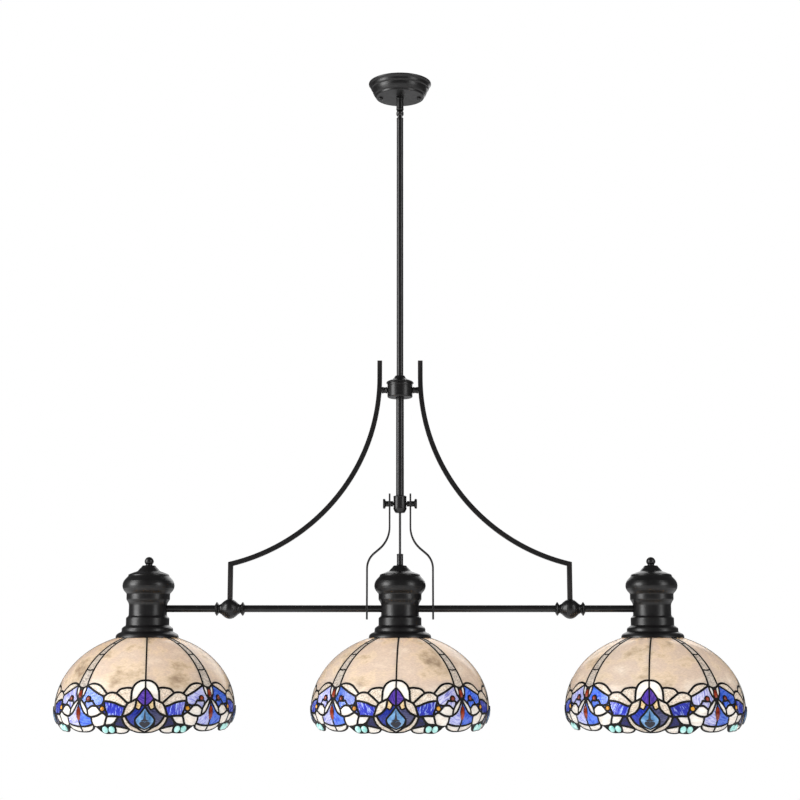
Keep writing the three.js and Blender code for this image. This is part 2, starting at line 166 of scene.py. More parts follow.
def satin_black():
    """Near-black baked paint with a brown cast: a fine orange peel, and edges rubbed a little lighter."""
    look = Look("satin_black", Metallic=0.0)
    look.set("Specular IOR Level", 0.36)
    cloud = look.noise(55, detail=6)
    base = look.ramp(cloud, (0.3, (0.0021, 0.0019, 0.0020)), (0.7, (0.0040, 0.0036, 0.0037)))
    look.feed("Base Color", look.mix(look.edge_wear(), base, (0.011, 0.0095, 0.0092)))
    look.feed("Roughness", look.ramp(look.noise(140, detail=5), (0.3, 0.31), (0.7, 0.38)))
    peel = look.noise(700, detail=2)
    look.bump(peel, 0.00003, 0.3)
    return look.material


def zinc_steel():
    """Zinc-plated steel with faint spangle and draw marks."""
    look = Look("zinc_steel", Metallic=1.0)
    cell = look.node("ShaderNodeTexVoronoi", Scale=260.0)
    look.link(look.place(), cell.inputs["Vector"])
    look.feed("Base Color", look.ramp(cell.outputs["Distance"], (0.0, (0.46, 0.47, 0.5)),
                                      (0.8, (0.62, 0.62, 0.6))))
    look.feed("Roughness", look.ramp(look.noise(300), (0.3, 0.24), (0.7, 0.42)))
    look.bump(look.noise(1500, at=look.place((1, 1, 0.06))), 0.00004, 0.5)
    return look.material


def warm_brass():
    """Lacquered spun brass with fine lathe lines and a darker patina in patches."""
    look = Look("warm_brass", Metallic=1.0)
    patina = look.noise(90, detail=5)
    look.feed("Base Color", look.ramp(patina, (0.35, (0.32, 0.2, 0.075)), (0.65, (0.56, 0.4, 0.17))))
    look.feed("Roughness", look.ramp(patina, (0.3, 0.42), (0.7, 0.26)))
    look.bump(look.noise(2600, detail=1, at=look.place((0.05, 0.05, 1))), 0.00003, 0.5)
    return look.material


def glazed_porcelain():
    """Cream lampholder porcelain: a glossy glaze with a few dark specks."""
    look = Look("glazed_porcelain", Roughness=0.16)
    look.set("Coat Weight", 0.5)
    look.set("Coat Roughness", 0.08)
    base = look.ramp(look.noise(70, detail=5), (0.3, (0.66, 0.62, 0.53)), (0.7, (0.76, 0.73, 0.66)))
    speck = look.ramp(look.noise(950, detail=1), (0.71, 0.0), (0.75, 1.0))
    look.feed("Base Color", look.mix(speck, base, (0.3, 0.25, 0.2)))
    look.bump(look.noise(240, detail=2), 0.00006, 0.4)
    return look.material


def cable_sheath():
    """Black textile-braided cable: a fine crossed weave."""
    look = Look("cable_sheath", Roughness=0.62)
    waves = [look.node("ShaderNodeTexWave", Scale=900.0, bands_direction=way) for way in ("DIAGONAL", "Z")]
    for wave in waves:
        look.link(look.place(), wave.inputs["Vector"])
    weave = look.mix(0.5, waves[0].outputs["Color"], waves[1].outputs["Color"], "MULTIPLY")
    look.feed("Base Color", look.mix(weave, (0.008, 0.008, 0.009), (0.03, 0.029, 0.03)))
    look.bump(weave, 0.0001, 0.6)
    return look.material


def connector_plastic():
    """Orange moulded plastic with a slight bloom."""
    look = Look("connector_plastic", Roughness=0.45)
    bloom = look.noise(120, detail=5)
    look.feed("Base Color", look.ramp(bloom, (0.3, (0.52, 0.15, 0.025)), (0.7, (0.62, 0.22, 0.05))))
    look.feed("Roughness", look.ramp(bloom, (0.3, 0.38), (0.7, 0.55)))
    return look.material


def patinated_lead():
    """Solder seams under a dark bronze patina, uneven and softly shiny."""
    look = Look("patinated_lead", Metallic=0.0)
    look.set("Specular IOR Level", 0.14)
    patch = look.noise(160, detail=6)
    base = look.ramp(patch, (0.35, (0.0016, 0.0013, 0.0012)), (0.66, (0.0046, 0.0038, 0.0032)))
    look.feed("Base Color", look.mix(look.edge_wear(0.55, 0.7), base, (0.010, 0.0085, 0.007)))
    look.feed("Roughness", look.ramp(patch, (0.3, 0.6), (0.7, 0.42)))
    look.bump(look.noise(420, detail=3), 0.0004, 0.5)
    return look.material


def sheet_glass(name, colours, stretch, scale, ripple, rough, glow, clear=0.22, fleck=(0.9, 520, (1, 1, 1)),
                swirl=0.35):
    """Sheet glass. The colours run in streaks along each pane's own grain, and each pane has its own tint.
    Glow is the share that scatters the bulb's light through, and clear the share that is see-through.
    Flecks are fine marks: how light the darkest is, their scale and their stretch."""
    look = Look(name, Roughness=rough)
    look.set("IOR", 1.5)
    look.set("Transmission Weight", clear)
    grain = look.place(stretch, kind="UV")
    streak = look.noise(scale, detail=7, roughness=0.62, at=grain, distortion=swirl)
    steps = len(colours) - 1
    stops = [(0.32 + 0.36 * i / steps, colour) for i, colour in enumerate(colours)]
    base = look.ramp(streak, *stops)
    darkest, fineness, drawn = fleck
    marks = look.noise(fineness, detail=3, roughness=0.6, at=look.place(drawn, kind="UV"), distortion=0.6)
    base = look.mix(1.0, base, look.ramp(marks, (0.42, darkest), (0.54, 1.0)), "MULTIPLY")
    tint = look.node("ShaderNodeAttribute", attribute_name="tint")
    base = look.mix(1.0, base, tint.outputs["Color"], "MULTIPLY")
    look.feed("Base Color", base)
    hammered = look.noise(220, detail=3, at=look.place(kind="UV"))
    look.bump(hammered, 0.0006, ripple)
    through = look.node("ShaderNodeBsdfTranslucent")
    look.link(base, through.inputs["Color"])
    both = look.node("ShaderNodeMixShader", Fac=glow)
    look.link(look.shader.outputs["BSDF"], both.inputs[1])
    look.link(through.outputs["BSDF"], both.inputs[2])
    look.link(both.outputs["Shader"], look.output.inputs["Surface"])
    return look.material


def cast_glass(name, deep, light, rough, clear):
    """Pressed glass for jewels, from its deep colour to its light one, with small flow marks."""
    look = Look(name, Roughness=rough)
    look.set("IOR", 1.5)
    look.set("Transmission Weight", clear)
    look.feed("Base Color", look.ramp(look.noise(130, detail=4), (0.3, deep), (0.7, light)))
    look.bump(look.noise(260, detail=2), 0.00025, 0.4)
    return look.material


def lit_bulb():
    """A frosted bulb that is on, a little whiter in soft patches."""
    look = Look("lit_bulb", Roughness=0.4)
    look.set("Base Color", (0.9, 0.86, 0.78))
    patch = look.noise(28, detail=3)
    look.feed("Emission Color", look.ramp(patch, (0.3, (1.0, 0.87, 0.70)), (0.7, (1.0, 0.92, 0.79))))
    look.set("Emission Strength", BULB_STRENGTH)
    return look.material


def floor_paint():
    """Matt white paint, very slightly uneven."""
    look = Look("floor_paint", Roughness=0.6)
    look.feed("Base Color", look.ramp(look.noise(1.5), (0.3, (0.82, 0.82, 0.82)), (0.7, (0.86, 0.86, 0.86))))
    return look.material


BLACK = satin_black()
STEEL = zinc_steel()
BRASS = warm_brass()
PORCELAIN = glazed_porcelain()
CABLE = cable_sheath()
ORANGE = connector_plastic()
LEAD = patinated_lead()
BULB = lit_bulb()

# ---- Mesh building ----
BODY_OF = {node: body for body, nodes in frame["record"]["behaviour"]["bodies"].items() for node in nodes}


def piece(name, verts, faces, look, body, replaces=(), smooth=40):
    """A mesh piece from millimetre points. It rides on a body and stands for the CAD nodes it replaces."""
    data = bpy.data.meshes.new(name)
    data.from_pydata([mm(*v) for v in verts], [], faces)
    data.materials.append(look)
    data.validate()
    made = bpy.data.objects.new(name, data)
    bpy.context.scene.collection.objects.link(made)
    data.shade_smooth()
    data.set_sharp_from_angle(angle=math.radians(smooth))
    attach(made, body)
    if replaces:
        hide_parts(*replaces)
    return made


def soften(profile, radius, closed, steps=3):
    """Rounds a profile's corners with curves that start about `radius` away, like a spun or cast edge."""
    points = []
    count = len(profile)
    for i, corner in enumerate(profile):
        if not closed and i in (0, count - 1):
            points.append(tuple(corner))
            continue
        here = Vector(corner)
        before = Vector(profile[i - 1]) - here
        after = Vector(profile[(i + 1) % count]) - here
        reach = min(radius, before.length * 0.4, after.length * 0.4)
        if reach < 0.02 or before.angle(after) > math.radians(172):
            points.append(tuple(corner))
            continue
        a = here + before.normalized() * reach
        b = here + after.normalized() * reach
        for step in range(steps + 1):
            t = step / steps
            points.append(tuple(a * (1 - t) ** 2 + here * 2 * t * (1 - t) + b * t ** 2))
    return points


def revolve(profile, sides=72, edge=0.35, closed=None):
    """Points and faces of a turned solid about Z. The profile is [radius, z] from the top down the outside;
    it ends on the axis, or it comes back up a bore and is closed."""
    if closed is None:
        closed = not (profile[0][0] == 0 and profile[-1][0] == 0)
    line = soften(profile, edge, closed)
    verts, rings = [], []
    for radius, z in line:
        if radius < 1e-6:
            rings.append([len(verts)])
            verts.append((0, 0, z))
            continue
        rings.append(range(len(verts), len(verts) + sides))
        for k in range(sides):
            angle = 2 * math.pi * k / sides
            verts.append((radius * math.cos(angle), radius * math.sin(angle), z))
    faces = []
    pairs = list(zip(rings, rings[1:])) + ([(rings[-1], rings[0])] if closed else [])
    for upper, lower in pairs:
        for k in range(sides):
            n = (k + 1) % sides
            if len(upper) == 1 and len(lower) == 1:
                continue
            if len(upper) == 1:
                faces.append((upper[0], lower[k], lower[n]))
            elif len(lower) == 1:
                faces.append((upper[k], lower[0], upper[n]))
            else:
                faces.append((upper[k], lower[k], lower[n], upper[n]))
    return verts, faces


def along_x(verts, side=1):
    """Turns points made about Z so that their top points along +X (side 1) or -X (side -1)."""
    return [(side * z, y, x) for x, y, z in verts]


def moved(verts, at):
    return [(x + at[0], y + at[1], z + at[2]) for x, y, z in verts]


def join(*parts):
    """Several (verts, faces) pairs as one."""
    verts, faces = [], []
    for part_verts, part_faces in parts:
        start = len(verts)
        verts += part_verts
        faces += [tuple(start + i for i in face) for face in part_faces]
    return verts, faces


def turned(node, profile, look=BLACK, sides=72, edge=0.35):
    """Replaces a turned CAD node by a fine one. The profile is [radius, depth below the node's top]."""
    low, high = box_mm(node)
    centre = (low + high) / 2
    verts, faces = revolve([(r, -depth) for r, depth in profile], sides, edge)
    verts = moved(verts, (centre.x, centre.y, high.z))
    return piece(f"{node}_piece", verts, faces, look, BODY_OF[node], [node])


def turned_x(node, profile, side, look=BLACK, sides=48, edge=0.3):
    """The same for a node turned about X. The profile is [radius, distance inwards from its outer end]."""
    low, high = box_mm(node)
    outer = high.x if side > 0 else low.x
    verts, faces = revolve([(r, -d) for r, d in profile], sides, edge)
    verts = moved(along_x(verts, side), (outer, (low.y + high.y) / 2, (low.z + high.z) / 2))
    return piece(f"{node}_piece", verts, outward(verts, faces), look, BODY_OF[node], [node])


def outward(verts, faces):
    """The faces turned so that they point out of the closed solid."""
    volume = 0.0
    for face in faces:
        a = Vector(verts[face[0]])
        for i in range(1, len(face) - 1):
            volume += a.dot(Vector(verts[face[i]]).cross(Vector(verts[face[i + 1]])))
    return faces if volume > 0 else [tuple(reversed(face)) for face in faces]


def slab(front, back):
    """A closed solid between two outlines with the same number of points."""
    count = len(front)
    faces = [tuple(range(count)), tuple(reversed(range(count, 2 * count)))]
    faces += [(i, i + count, (i + 1) % count + count, (i + 1) % count) for i in range(count)]
    return front + back, outward(front + back, faces)


def arc(centre, radius, start, end, steps):
    """Points along an arc in a plane, its angles in degrees from the first axis towards the second."""
    points = []
    for i in range(steps + 1):
        angle = math.radians(start + (end - start) * i / steps)
        points.append((centre[0] + radius * math.cos(angle), centre[1] + radius * math.sin(angle)))
    return points


def smooth_path(points, step):
    """A Catmull-Rom curve through 2-D or 3-D points, sampled about every `step`."""
    points = [Vector(p) for p in points]
    if len(points) == 2:
        count = max(1, round((points[1] - points[0]).length / step))
        return [points[0].lerp(points[1], i / count) for i in range(count + 1)]
    ends = [2 * points[0] - points[1], *points, 2 * points[-1] - points[-2]]
    path = []
    for a, b, c, d in zip(ends, ends[1:], ends[2:], ends[3:]):
        count = max(1, round((c - b).length / step))
        for i in range(count):
            t = i / count
            path.append(0.5 * (2 * b + (c - a) * t + (2 * a - 5 * b + 4 * c - d) * t * t
                               + (3 * b - a - 3 * c + d) * t ** 3))
    path.append(points[-1])
    return path


def swept(path, normals, half_width, half_height, sides=8, closed=False):
    """A solid bead along a path, its half height along the normals and its half width across them."""
    verts, faces = [], []
    count = len(path)
    for i, (point, normal) in enumerate(zip(path, normals)):
        if closed:
            tangent = path[(i + 1) % count] - path[i - 1]
        else:
            tangent = path[min(i + 1, count - 1)] - path[max(i - 1, 0)]
        across = normal.cross(tangent).normalized()
        for k in range(sides):
            angle = 2 * math.pi * (k + 0.5) / sides
            out = across * half_width * math.cos(angle)
            verts.append(tuple(point + out + normal * half_height * math.sin(angle)))
    for i in range(count if closed else count - 1):
        a, b = i * sides, (i + 1) % count * sides
        faces += [(a + k, b + k, b + (k + 1) % sides, a + (k + 1) % sides) for k in range(sides)]
    if not closed:
        faces += [tuple(range(sides)), tuple(reversed(range(len(verts) - sides, len(verts))))]
    return verts, outward(verts, faces)


def round_wire(node, points, radius, sides=12):
    """A round cable through points, replacing a CAD wire."""
    path = smooth_path(points, radius * 0.8)
    normals = []
    guide = Vector((0.31, 0.93, 0.2))
    for i in range(len(path)):
        tangent = (path[min(i + 1, len(path) - 1)] - path[max(i - 1, 0)]).normalized()
        guide = (guide - tangent * guide.dot(tangent)).normalized()
        normals.append(guide.copy())
    verts, faces = swept(path, normals, radius, radius, sides)
    piece(f"{node}_piece", verts, faces, CABLE, BODY_OF[node], [node])


def apply_modifiers(made):
    """Makes a piece's modifiers part of its mesh."""
    graph = bpy.context.evaluated_depsgraph_get()
    final = bpy.data.meshes.new_from_object(made.evaluated_get(graph))
    made.modifiers.clear()
    old = made.data
    made.data = final
    bpy.data.meshes.remove(old)


def cut_away(target, verts, faces):
    """Cuts a closed solid, in millimetres, out of a piece."""
    data = bpy.data.meshes.new("cutter")
    data.from_pydata([mm(*v) for v in verts], [], faces)
    cutter = bpy.data.objects.new("cutter", data)
    bpy.context.scene.collection.objects.link(cutter)
    cut = target.modifiers.new("cut", "BOOLEAN")
    cut.operation = "DIFFERENCE"
    cut.solver = "EXACT"
    cut.object = cutter
    apply_modifiers(target)
    bpy.data.objects.remove(cutter)
    target.data.set_sharp_from_angle(angle=math.radians(40))


def bored(target, centre, radius, direction, length):
    """Cuts a round hole through a piece."""
    verts, faces = revolve([(0, length / 2), (radius, length / 2), (radius, -length / 2),
                            (0, -length / 2)], 48, 0)
    turn = Vector((0, 0, 1)).rotation_difference(Vector(direction)).to_matrix()
    cut_away(target, [turn @ Vector(v) + Vector(centre) for v in verts], faces)


def slotted(target, centre, size):
    """Cuts a box-shaped slot out of a piece."""
    x, y, z = (whole / 2 for whole in size)
    corners = [Vector((i * x, j * y, k * z)) for i in (-1, 1) for j in (-1, 1) for k in (-1, 1)]
    faces = [(0, 1, 3, 2), (4, 6, 7, 5), (0, 4, 5, 1), (2, 3, 7, 6), (0, 2, 6, 4), (1, 5, 7, 3)]
    cut_away(target, [corner + Vector(centre) for corner in corners], faces)


# ---- Ceiling plate ----
NIPPLE_R = 4.9
NIPPLE_BORE = 3.2
THREAD_PITCH = 0.94
THREAD_DEPTH = 0.3
CLEARANCE = 0.3  # round the nipple in its holes, and beside the tongue in its slot
CORNER = 3.0  # of the crossbar
BOX_SCREW_X = 44.5  # from the middle of the crossbar to a slot for an outlet box screw


def nipple():
    """The threaded tube through the canopy: ridges outside and a plain bore."""
    low, high = box_mm("canopy_nipple")
    root = NIPPLE_R - THREAD_DEPTH
    profile = [(NIPPLE_BORE, high.z), (root, high.z)]
    z = high.z - THREAD_PITCH / 2
    while z > low.z + THREAD_PITCH / 2:
        profile += [(NIPPLE_R, z), (root, z - THREAD_PITCH / 2)]
        z -= THREAD_PITCH
    profile += [(root, low.z), (NIPPLE_BORE, low.z)]
    verts, faces = revolve(profile, 40, 0)
    piece("canopy_nipple_piece", verts, outward(verts, faces), STEEL, "ceiling_plate", ["canopy_nipple"],
          smooth=25)


def crossbar():
    """The strap across the outlet box: flat steel with rounded corners, three holes and two slots."""
    low, high = box_mm("crossbar")
    reach, half = high.x, (high.y - low.y) / 2
    outline = []
    for cx, cy, start in ((reach, half, 0), (-reach, half, 90), (-reach, -half, 180), (reach, -half, 270)):
        centre = (cx - math.copysign(CORNER, cx), cy - math.copysign(CORNER, cy))
        outline += arc(centre, CORNER, start, start + 90, 5)
    verts, faces = slab([(x, y, high.z) for x, y in outline], [(x, y, low.z) for x, y in outline])
    bar = piece("crossbar_piece", verts, faces, STEEL, "ceiling_plate", ["crossbar"])
    mid = (low.z + high.z) / 2
    screw_x = middle("canopy_screw_right").x
    for x, radius in ((-screw_x, 2.2), (screw_x, 2.2), (0, NIPPLE_R + CLEARANCE)):
        bored(bar, (x, 0, mid), radius, (0, 0, 1), 9)
    for side in (-1, 1):
        slotted(bar, (side * BOX_SCREW_X, 0, mid), (8, 4.8, 9))


def canopy():
    """Spun steel: a rolled rim, two soft steps, and a flat disc on the underside."""
    turned("canopy", [(NIPPLE_R + CLEARANCE, 25.5), (42.6, 25.5), (44, 23.5), (45, 21), (48.2, 15.6),
                      (49, 12), (49.3, 9.7), (52.0, 4.9), (54.0, 2.6), (55.4, 1.6), (55.4, 0), (57, 0),
                      (57.2, 1.0), (56.9, 2.2), (55.9, 3.3), (54.6, 4.5), (53.9, 6.0), (53.2, 8.8),
                      (52.6, 10), (51.0, 10.8), (50.4, 11.6), (50.2, 14), (49.6, 16.4), (48.3, 19.2),
                      (46.9, 21.6), (45.6, 22.6), (44.8, 23.3), (44.5, 24.6), (44.2, 25.9), (43.4, 26.8),
                      (42.4, 27), (30, 27), (NIPPLE_R + CLEARANCE, 27)], sides=128, edge=0.3)


def canopy_screw(word):
    """A pan-head screw with a cross recess."""
    node = f"canopy_screw_{word}"
    low, high = box_mm(node)
    head = high.z - low.z
    screw = turned(node, [(0, 0), (1.9, 0), (1.9, head - 3.7), (4.2, head - 3.7), (4.2, head - 2.9),
                          (3.9, head - 1.7), (3.1, head - 0.7), (1.8, head - 0.15), (0, head)], sides=40)
    centre = middle(node)
    for size in ((3.6, 0.75, 3.2), (0.75, 3.6, 3.2)):
        slotted(screw, (centre.x, centre.y, low.z), size)


def locknut():
    """A hexagon nut with turned-down corners."""
    low, high = box_mm("canopy_locknut")
    centre = (low + high) / 2
    half = (high.z - low.z) / 2
    bore = NIPPLE_R + CLEARANCE
    verts, faces = [], []
    for k in range(48):
        angle = 2 * math.pi * k / 48
        folded = (angle + math.pi / 6) % (math.pi / 3) - math.pi / 6
        flat = 9 * math.cos(math.pi / 6) / math.cos(folded)
        ring = [(bore, half), (7.6, half), (flat, half - 0.5 * (flat - 7.7)),
                (flat, -half + 0.5 * (flat - 7.7)), (7.6, -half), (bore, -half)]
        verts += [(r * math.sin(angle), -r * math.cos(angle), z) for r, z in ring]
    for k in range(48):
        a, b = 6 * k, 6 * ((k + 1) % 48)
        faces += [(a + i, a + (i + 1) % 6, b + (i + 1) % 6, b + i) for i in range(6)]
    piece("canopy_locknut_piece", moved(verts, centre), outward(verts, faces), STEEL, "ceiling_plate",
          ["canopy_locknut"], smooth=25)


SUPPLY_ROUTE = [(1.6, 0, -26), (1.6, -0.4, -16), (3.5, -4, -10.5), (8.5, -11, -10), (12.4, -17, -11.6),
                (13, -24, -12)]
SUPPLY_R = 1.1
WIRE_NUT = [(1.7, -8), (1.7, 0), (5.2, 0), (5.6, -0.5), (5.6, -3), (5.2, -4), (4.8, -12), (4.3, -16.5),
            (3.2, -18.0)]  # from the end of its blind bore, round the mouth, to its tip
RIB = 0.35


def wire_nut(word):
    """A screw-on connector: a ribbed cone. Its mouth faces away from the nipple, unlike the CAD's."""
    node = f"wire_nut_{word}"
    low, high = box_mm(node)
    centre = (low + high) / 2
    sides = 36
    verts, faces = [], []
    for radius, z in WIRE_NUT:
        ribbed = radius > 4 and -17 < z < -3.5
        for k in range(sides):
            reach = radius + (RIB if ribbed and k % 3 == 0 else 0)
            angle = 2 * math.pi * k / sides
            verts.append((reach * math.cos(angle) + centre.x, low.y - z,
                          reach * math.sin(angle) + centre.z))
    for row in range(len(WIRE_NUT) - 1):
        a, b = row * sides, (row + 1) * sides
        faces += [(a + k, a + (k + 1) % sides, b + (k + 1) % sides, b + k) for k in range(sides)]
    faces += [tuple(reversed(range(sides))), tuple(range(len(verts) - sides, len(verts)))]
    piece(f"{node}_piece", verts, outward(verts, faces), ORANGE, "ceiling_plate", [node], smooth=30)


def ceiling_plate():
    crossbar()
    canopy()
    canopy_screw("left")
    canopy_screw("right")
    locknut()
    nipple()
    low, high = box_mm("swivel_collar")
    height = high.z - low.z
    turned("swivel_collar", [(5.2, 0), (6.7, 0), (6.9, 0.6), (6.9, 2.2), (6.5, 2.8), (6.5, height - 3),
                             (6.8, height - 2.4), (6.8, height - 0.6), (6.4, height), (5.2, height)])
    for side, word in ((1, "live"), (-1, "neutral")):
        round_wire(f"supply_lead_{word}", [(side * x, y, z) for x, y, z in SUPPLY_ROUTE], SUPPLY_R)
        wire_nut(word)


# ---- Swivel ----
BALL_R = 7
TONGUE_HALF = 3.2


def swivel():
    """The slotted ball, its pin, and the tongue with its shoulder below."""
    pivot = middle("knuckle_pin")
    ball = [(BALL_R * math.sin(math.radians(t)),
             BALL_R * math.cos(math.radians(t))) for t in range(32, 175, 8)]
    profile = [(0, 21), (4.6, 21), (NIPPLE_R, 20.6), (NIPPLE_R, 7.3), (5.6, 7.0), (6.1, 6.6), (6.1, 5.6),
               (4.6, 5.4), *ball[1:], (0, -BALL_R)]
    verts, faces = revolve(profile, 64, 0.25)
    upper = piece("knuckle_upper_piece", moved(verts, pivot), faces, BLACK, "swivel", ["knuckle_upper"])
    slotted(upper, (0, 0, pivot.z + 5.5 - 10), (2 * (TONGUE_HALF + CLEARANCE), 30, 20))
    bored(upper, pivot, 2.0, (1, 0, 0), 20)

    verts, faces = revolve([(0, 6.3), (1.5, 6.3), (1.7, 6.1), (1.7, -6.1), (1.5, -6.3), (0, -6.3)], 32, 0)
    pin = piece("knuckle_pin_piece", moved(along_x(verts), pivot), outward(along_x(verts), faces), STEEL,
                "swivel", ["knuckle_pin"])
    for side in (-1, 1):
        slotted(pin, (pivot.x + side * 6.3, 0, pivot.z), (0.9, 4, 0.6))

    tongue = revolve([(0, TONGUE_HALF), (4.9, TONGUE_HALF), (5.2, TONGUE_HALF - 0.3),
                      (5.2, 0.3 - TONGUE_HALF), (4.9, -TONGUE_HALF), (0, -TONGUE_HALF)], 48, 0)
    tongue = (along_x(tongue[0]), outward(along_x(tongue[0]), tongue[1]))
    shoulder = revolve([(0, -4), (3.1, -4), (3.1, -7.6), (4.6, -7.6), (5.6, -8.0), (6.1, -8.8), (6.1, -10),
                        (4.4, -10), (4.4, -24), (0, -24)], 64, 0.2)
    verts, faces = join(tongue, shoulder)
    piece("knuckle_lower_piece", moved(verts, pivot), faces, BLACK, "fixture", ["knuckle_lower"])


# ---- Stem, hub, arms, straps and bar ----
STEM_R = 6.1
ROD_R = 6.9
BAR_R = 6.05
WALL = 1.4
ARM_WIDTH = 8.5
ARM_RADIUS = 337.6
ARM_TOP_X = 36
ARM_BEND_Z = -548
CORD_R = 2.05
THUMB_R = 2.8


def tube_profile(radius, length):
    """A tube's profile, with its outer edges eased."""
    return [(radius - WALL, 0), (radius - 0.3, 0), (radius, 0.4), (radius, length - 0.4),
            (radius - 0.3, length), (radius - WALL, length)]


def stem_and_hub():
    """The stem, the hub's cap, body and coupling, its two stubs, and the rod below it."""
    stem_low, stem_high = box_mm("stem_tube")
    length = stem_high.z - stem_low.z
    turned("stem_tube", [(STEM_R - WALL, 0), (STEM_R - 0.3, 0), (STEM_R, 0.4), (STEM_R, 5.2),
                         (STEM_R - 0.12, 5.4), (STEM_R - 0.12, length - 0.4), (STEM_R - 0.4, length),
                         (STEM_R - WALL, length)], sides=64, edge=0.1)
    turned("hub_cap", [(6.4, 0), (8.2, 0), (8.7, 0.4), (9.2, 1.4), (10.4, 3.6), (12.4, 5.6), (15.4, 7.2),
                       (19.2, 8.7), (22.4, 10.2), (24.0, 11.9), (24.3, 12.9), (24.0, 13.7), (23.2, 13.9),
                       (20, 13.9), (17, 11.2), (9, 6.8), (6.4, 6)], sides=96)
    turned("hub_body", [(20, 0), (22.3, 0), (22.3, 3), (22.0, 3.4), (22.0, 4.0), (22.3, 4.4),
                        (22.3, 22.4), (22.1, 23.6), (21.2, 24.8), (20, 25.2), (7.2, 25.2), (7.2, 22.7),
                        (20, 22.7)], sides=96)
    turned("hub_coupling", [(6.4, 0), (10.5, 0), (10.5, 26.2), (7.2, 26.2), (7.2, 13.6), (3.2, 13.6),
                            (3.2, 9.4), (6.4, 9.4)], STEEL, sides=48)
    for word, side in SIDES.items():
        turned_x(f"hub_stub_{word}", [(0, -1), (5.8, -1), (5.8, 1.8), (5.3, 2.6), (5.2, 4.4), (5.3, 6.2),
                                      (5.8, 7.0), (5.8, 8.8), (4, 8.85), (4, 16.3), (0, 16.3)], side)
    rod_low, rod_high = box_mm("lower_rod")
    length = rod_high.z - rod_low.z
    turned("lower_rod", tube_profile(ROD_R, length), sides=64, edge=0.1)


def arm(word, side):
    """Square bar: a short upright, the arc that sweeps out to a mitred corner, and the post."""
    low, high = box_mm(f"arm_{word}")
    post_x = (high.x if side > 0 else -low.x) - ARM_WIDTH / 2
    half = ARM_WIDTH / 2
    centre = (ARM_TOP_X + ARM_RADIUS, ARM_BEND_Z)

    def sweep(x, radius):
        return math.degrees(math.acos((centre[0] - x) / radius))

    outline = [(ARM_TOP_X - half, high.z)]
    outline += arc(centre, ARM_RADIUS + half, 180, 180 + sweep(post_x - half, ARM_RADIUS + half), 48)
    outline += [(post_x - half, low.z), (post_x + half, low.z)]
    outline += arc(centre, ARM_RADIUS - half, 180 + sweep(post_x + half, ARM_RADIUS - half), 180, 48)
    outline += [(ARM_TOP_X + half, high.z)]
    front = [(side * x, -half, z) for x, z in outline]
    verts, faces = slab(front, [(x, half, z) for x, _, z in front])
    made = piece(f"arm_{word}_piece", verts, faces, BLACK, "fixture", [f"arm_{word}"])
    edges = made.modifiers.new("edges", "BEVEL")
    edges.width = mm(0.6)
    edges.segments = 3
    edges.limit_method = "ANGLE"
    edges.angle_limit = math.radians(35)
    edges.harden_normals = True


STRAP_HALF = 1.3
STRAP_ROUNDED = 1.5  # half thickness with the paint
STRAP_WIDTH = 18
STRAP_BEND_Z = -812
STRAP_BEND = (50, 12, 34)  # first radius, straight, second radius
STRAP_ANGLE = 50


def strap(word, side):
    """Flat strip: down, out along an S bend, and down past the bar, with eased edges."""
    low, high = box_mm(f"strap_{word}")
    top_x = (low.x if side > 0 else -high.x) + STRAP_HALF
    first, straight, second = STRAP_BEND
    angle = math.radians(STRAP_ANGLE)
    centre_1 = (top_x + first, STRAP_BEND_Z)
    leave = (centre_1[0] - first * math.cos(angle), STRAP_BEND_Z - first * math.sin(angle))
    arrive = (leave[0] + straight * math.sin(angle), leave[1] - straight * math.cos(angle))
    centre_2 = (arrive[0] - second * math.cos(angle), arrive[1] - second * math.sin(angle))
    line = [(top_x, high.z), (top_x, (high.z + STRAP_BEND_Z) / 2)]
    line += arc(centre_1, first, 180, 180 + STRAP_ANGLE, 10)
    line += arc(centre_2, second, STRAP_ANGLE, 0, 10)
    line += [(centre_2[0] + second, low.z)]
    ring = [(y * STRAP_WIDTH / 2, n * STRAP_ROUNDED) for y, n in
            ((-1, -0.5), (-0.95, -1), (0.95, -1), (1, -0.5), (1, 0.5), (0.95, 1), (-0.95, 1), (-1, 0.5))]
    verts, faces = [], []
    for i, (x, z) in enumerate(line):
        before, after = line[max(i - 1, 0)], line[min(i + 1, len(line) - 1)]
        along = Vector((after[0] - before[0], after[1] - before[1])).normalized()
        verts += [(side * (x - n * along.y), y, z + n * along.x) for y, n in ring]
    count = len(ring)
    for i in range(len(line) - 1):
        a, b = i * count, (i + 1) * count
        faces += [(a + k, a + (k + 1) % count, b + (k + 1) % count, b + k) for k in range(count)]
    faces += [tuple(range(count)), tuple(reversed(range(len(verts) - count, len(verts))))]
    piece(f"strap_{word}_piece", verts, outward(verts, faces), BLACK, "fixture", [f"strap_{word}"])


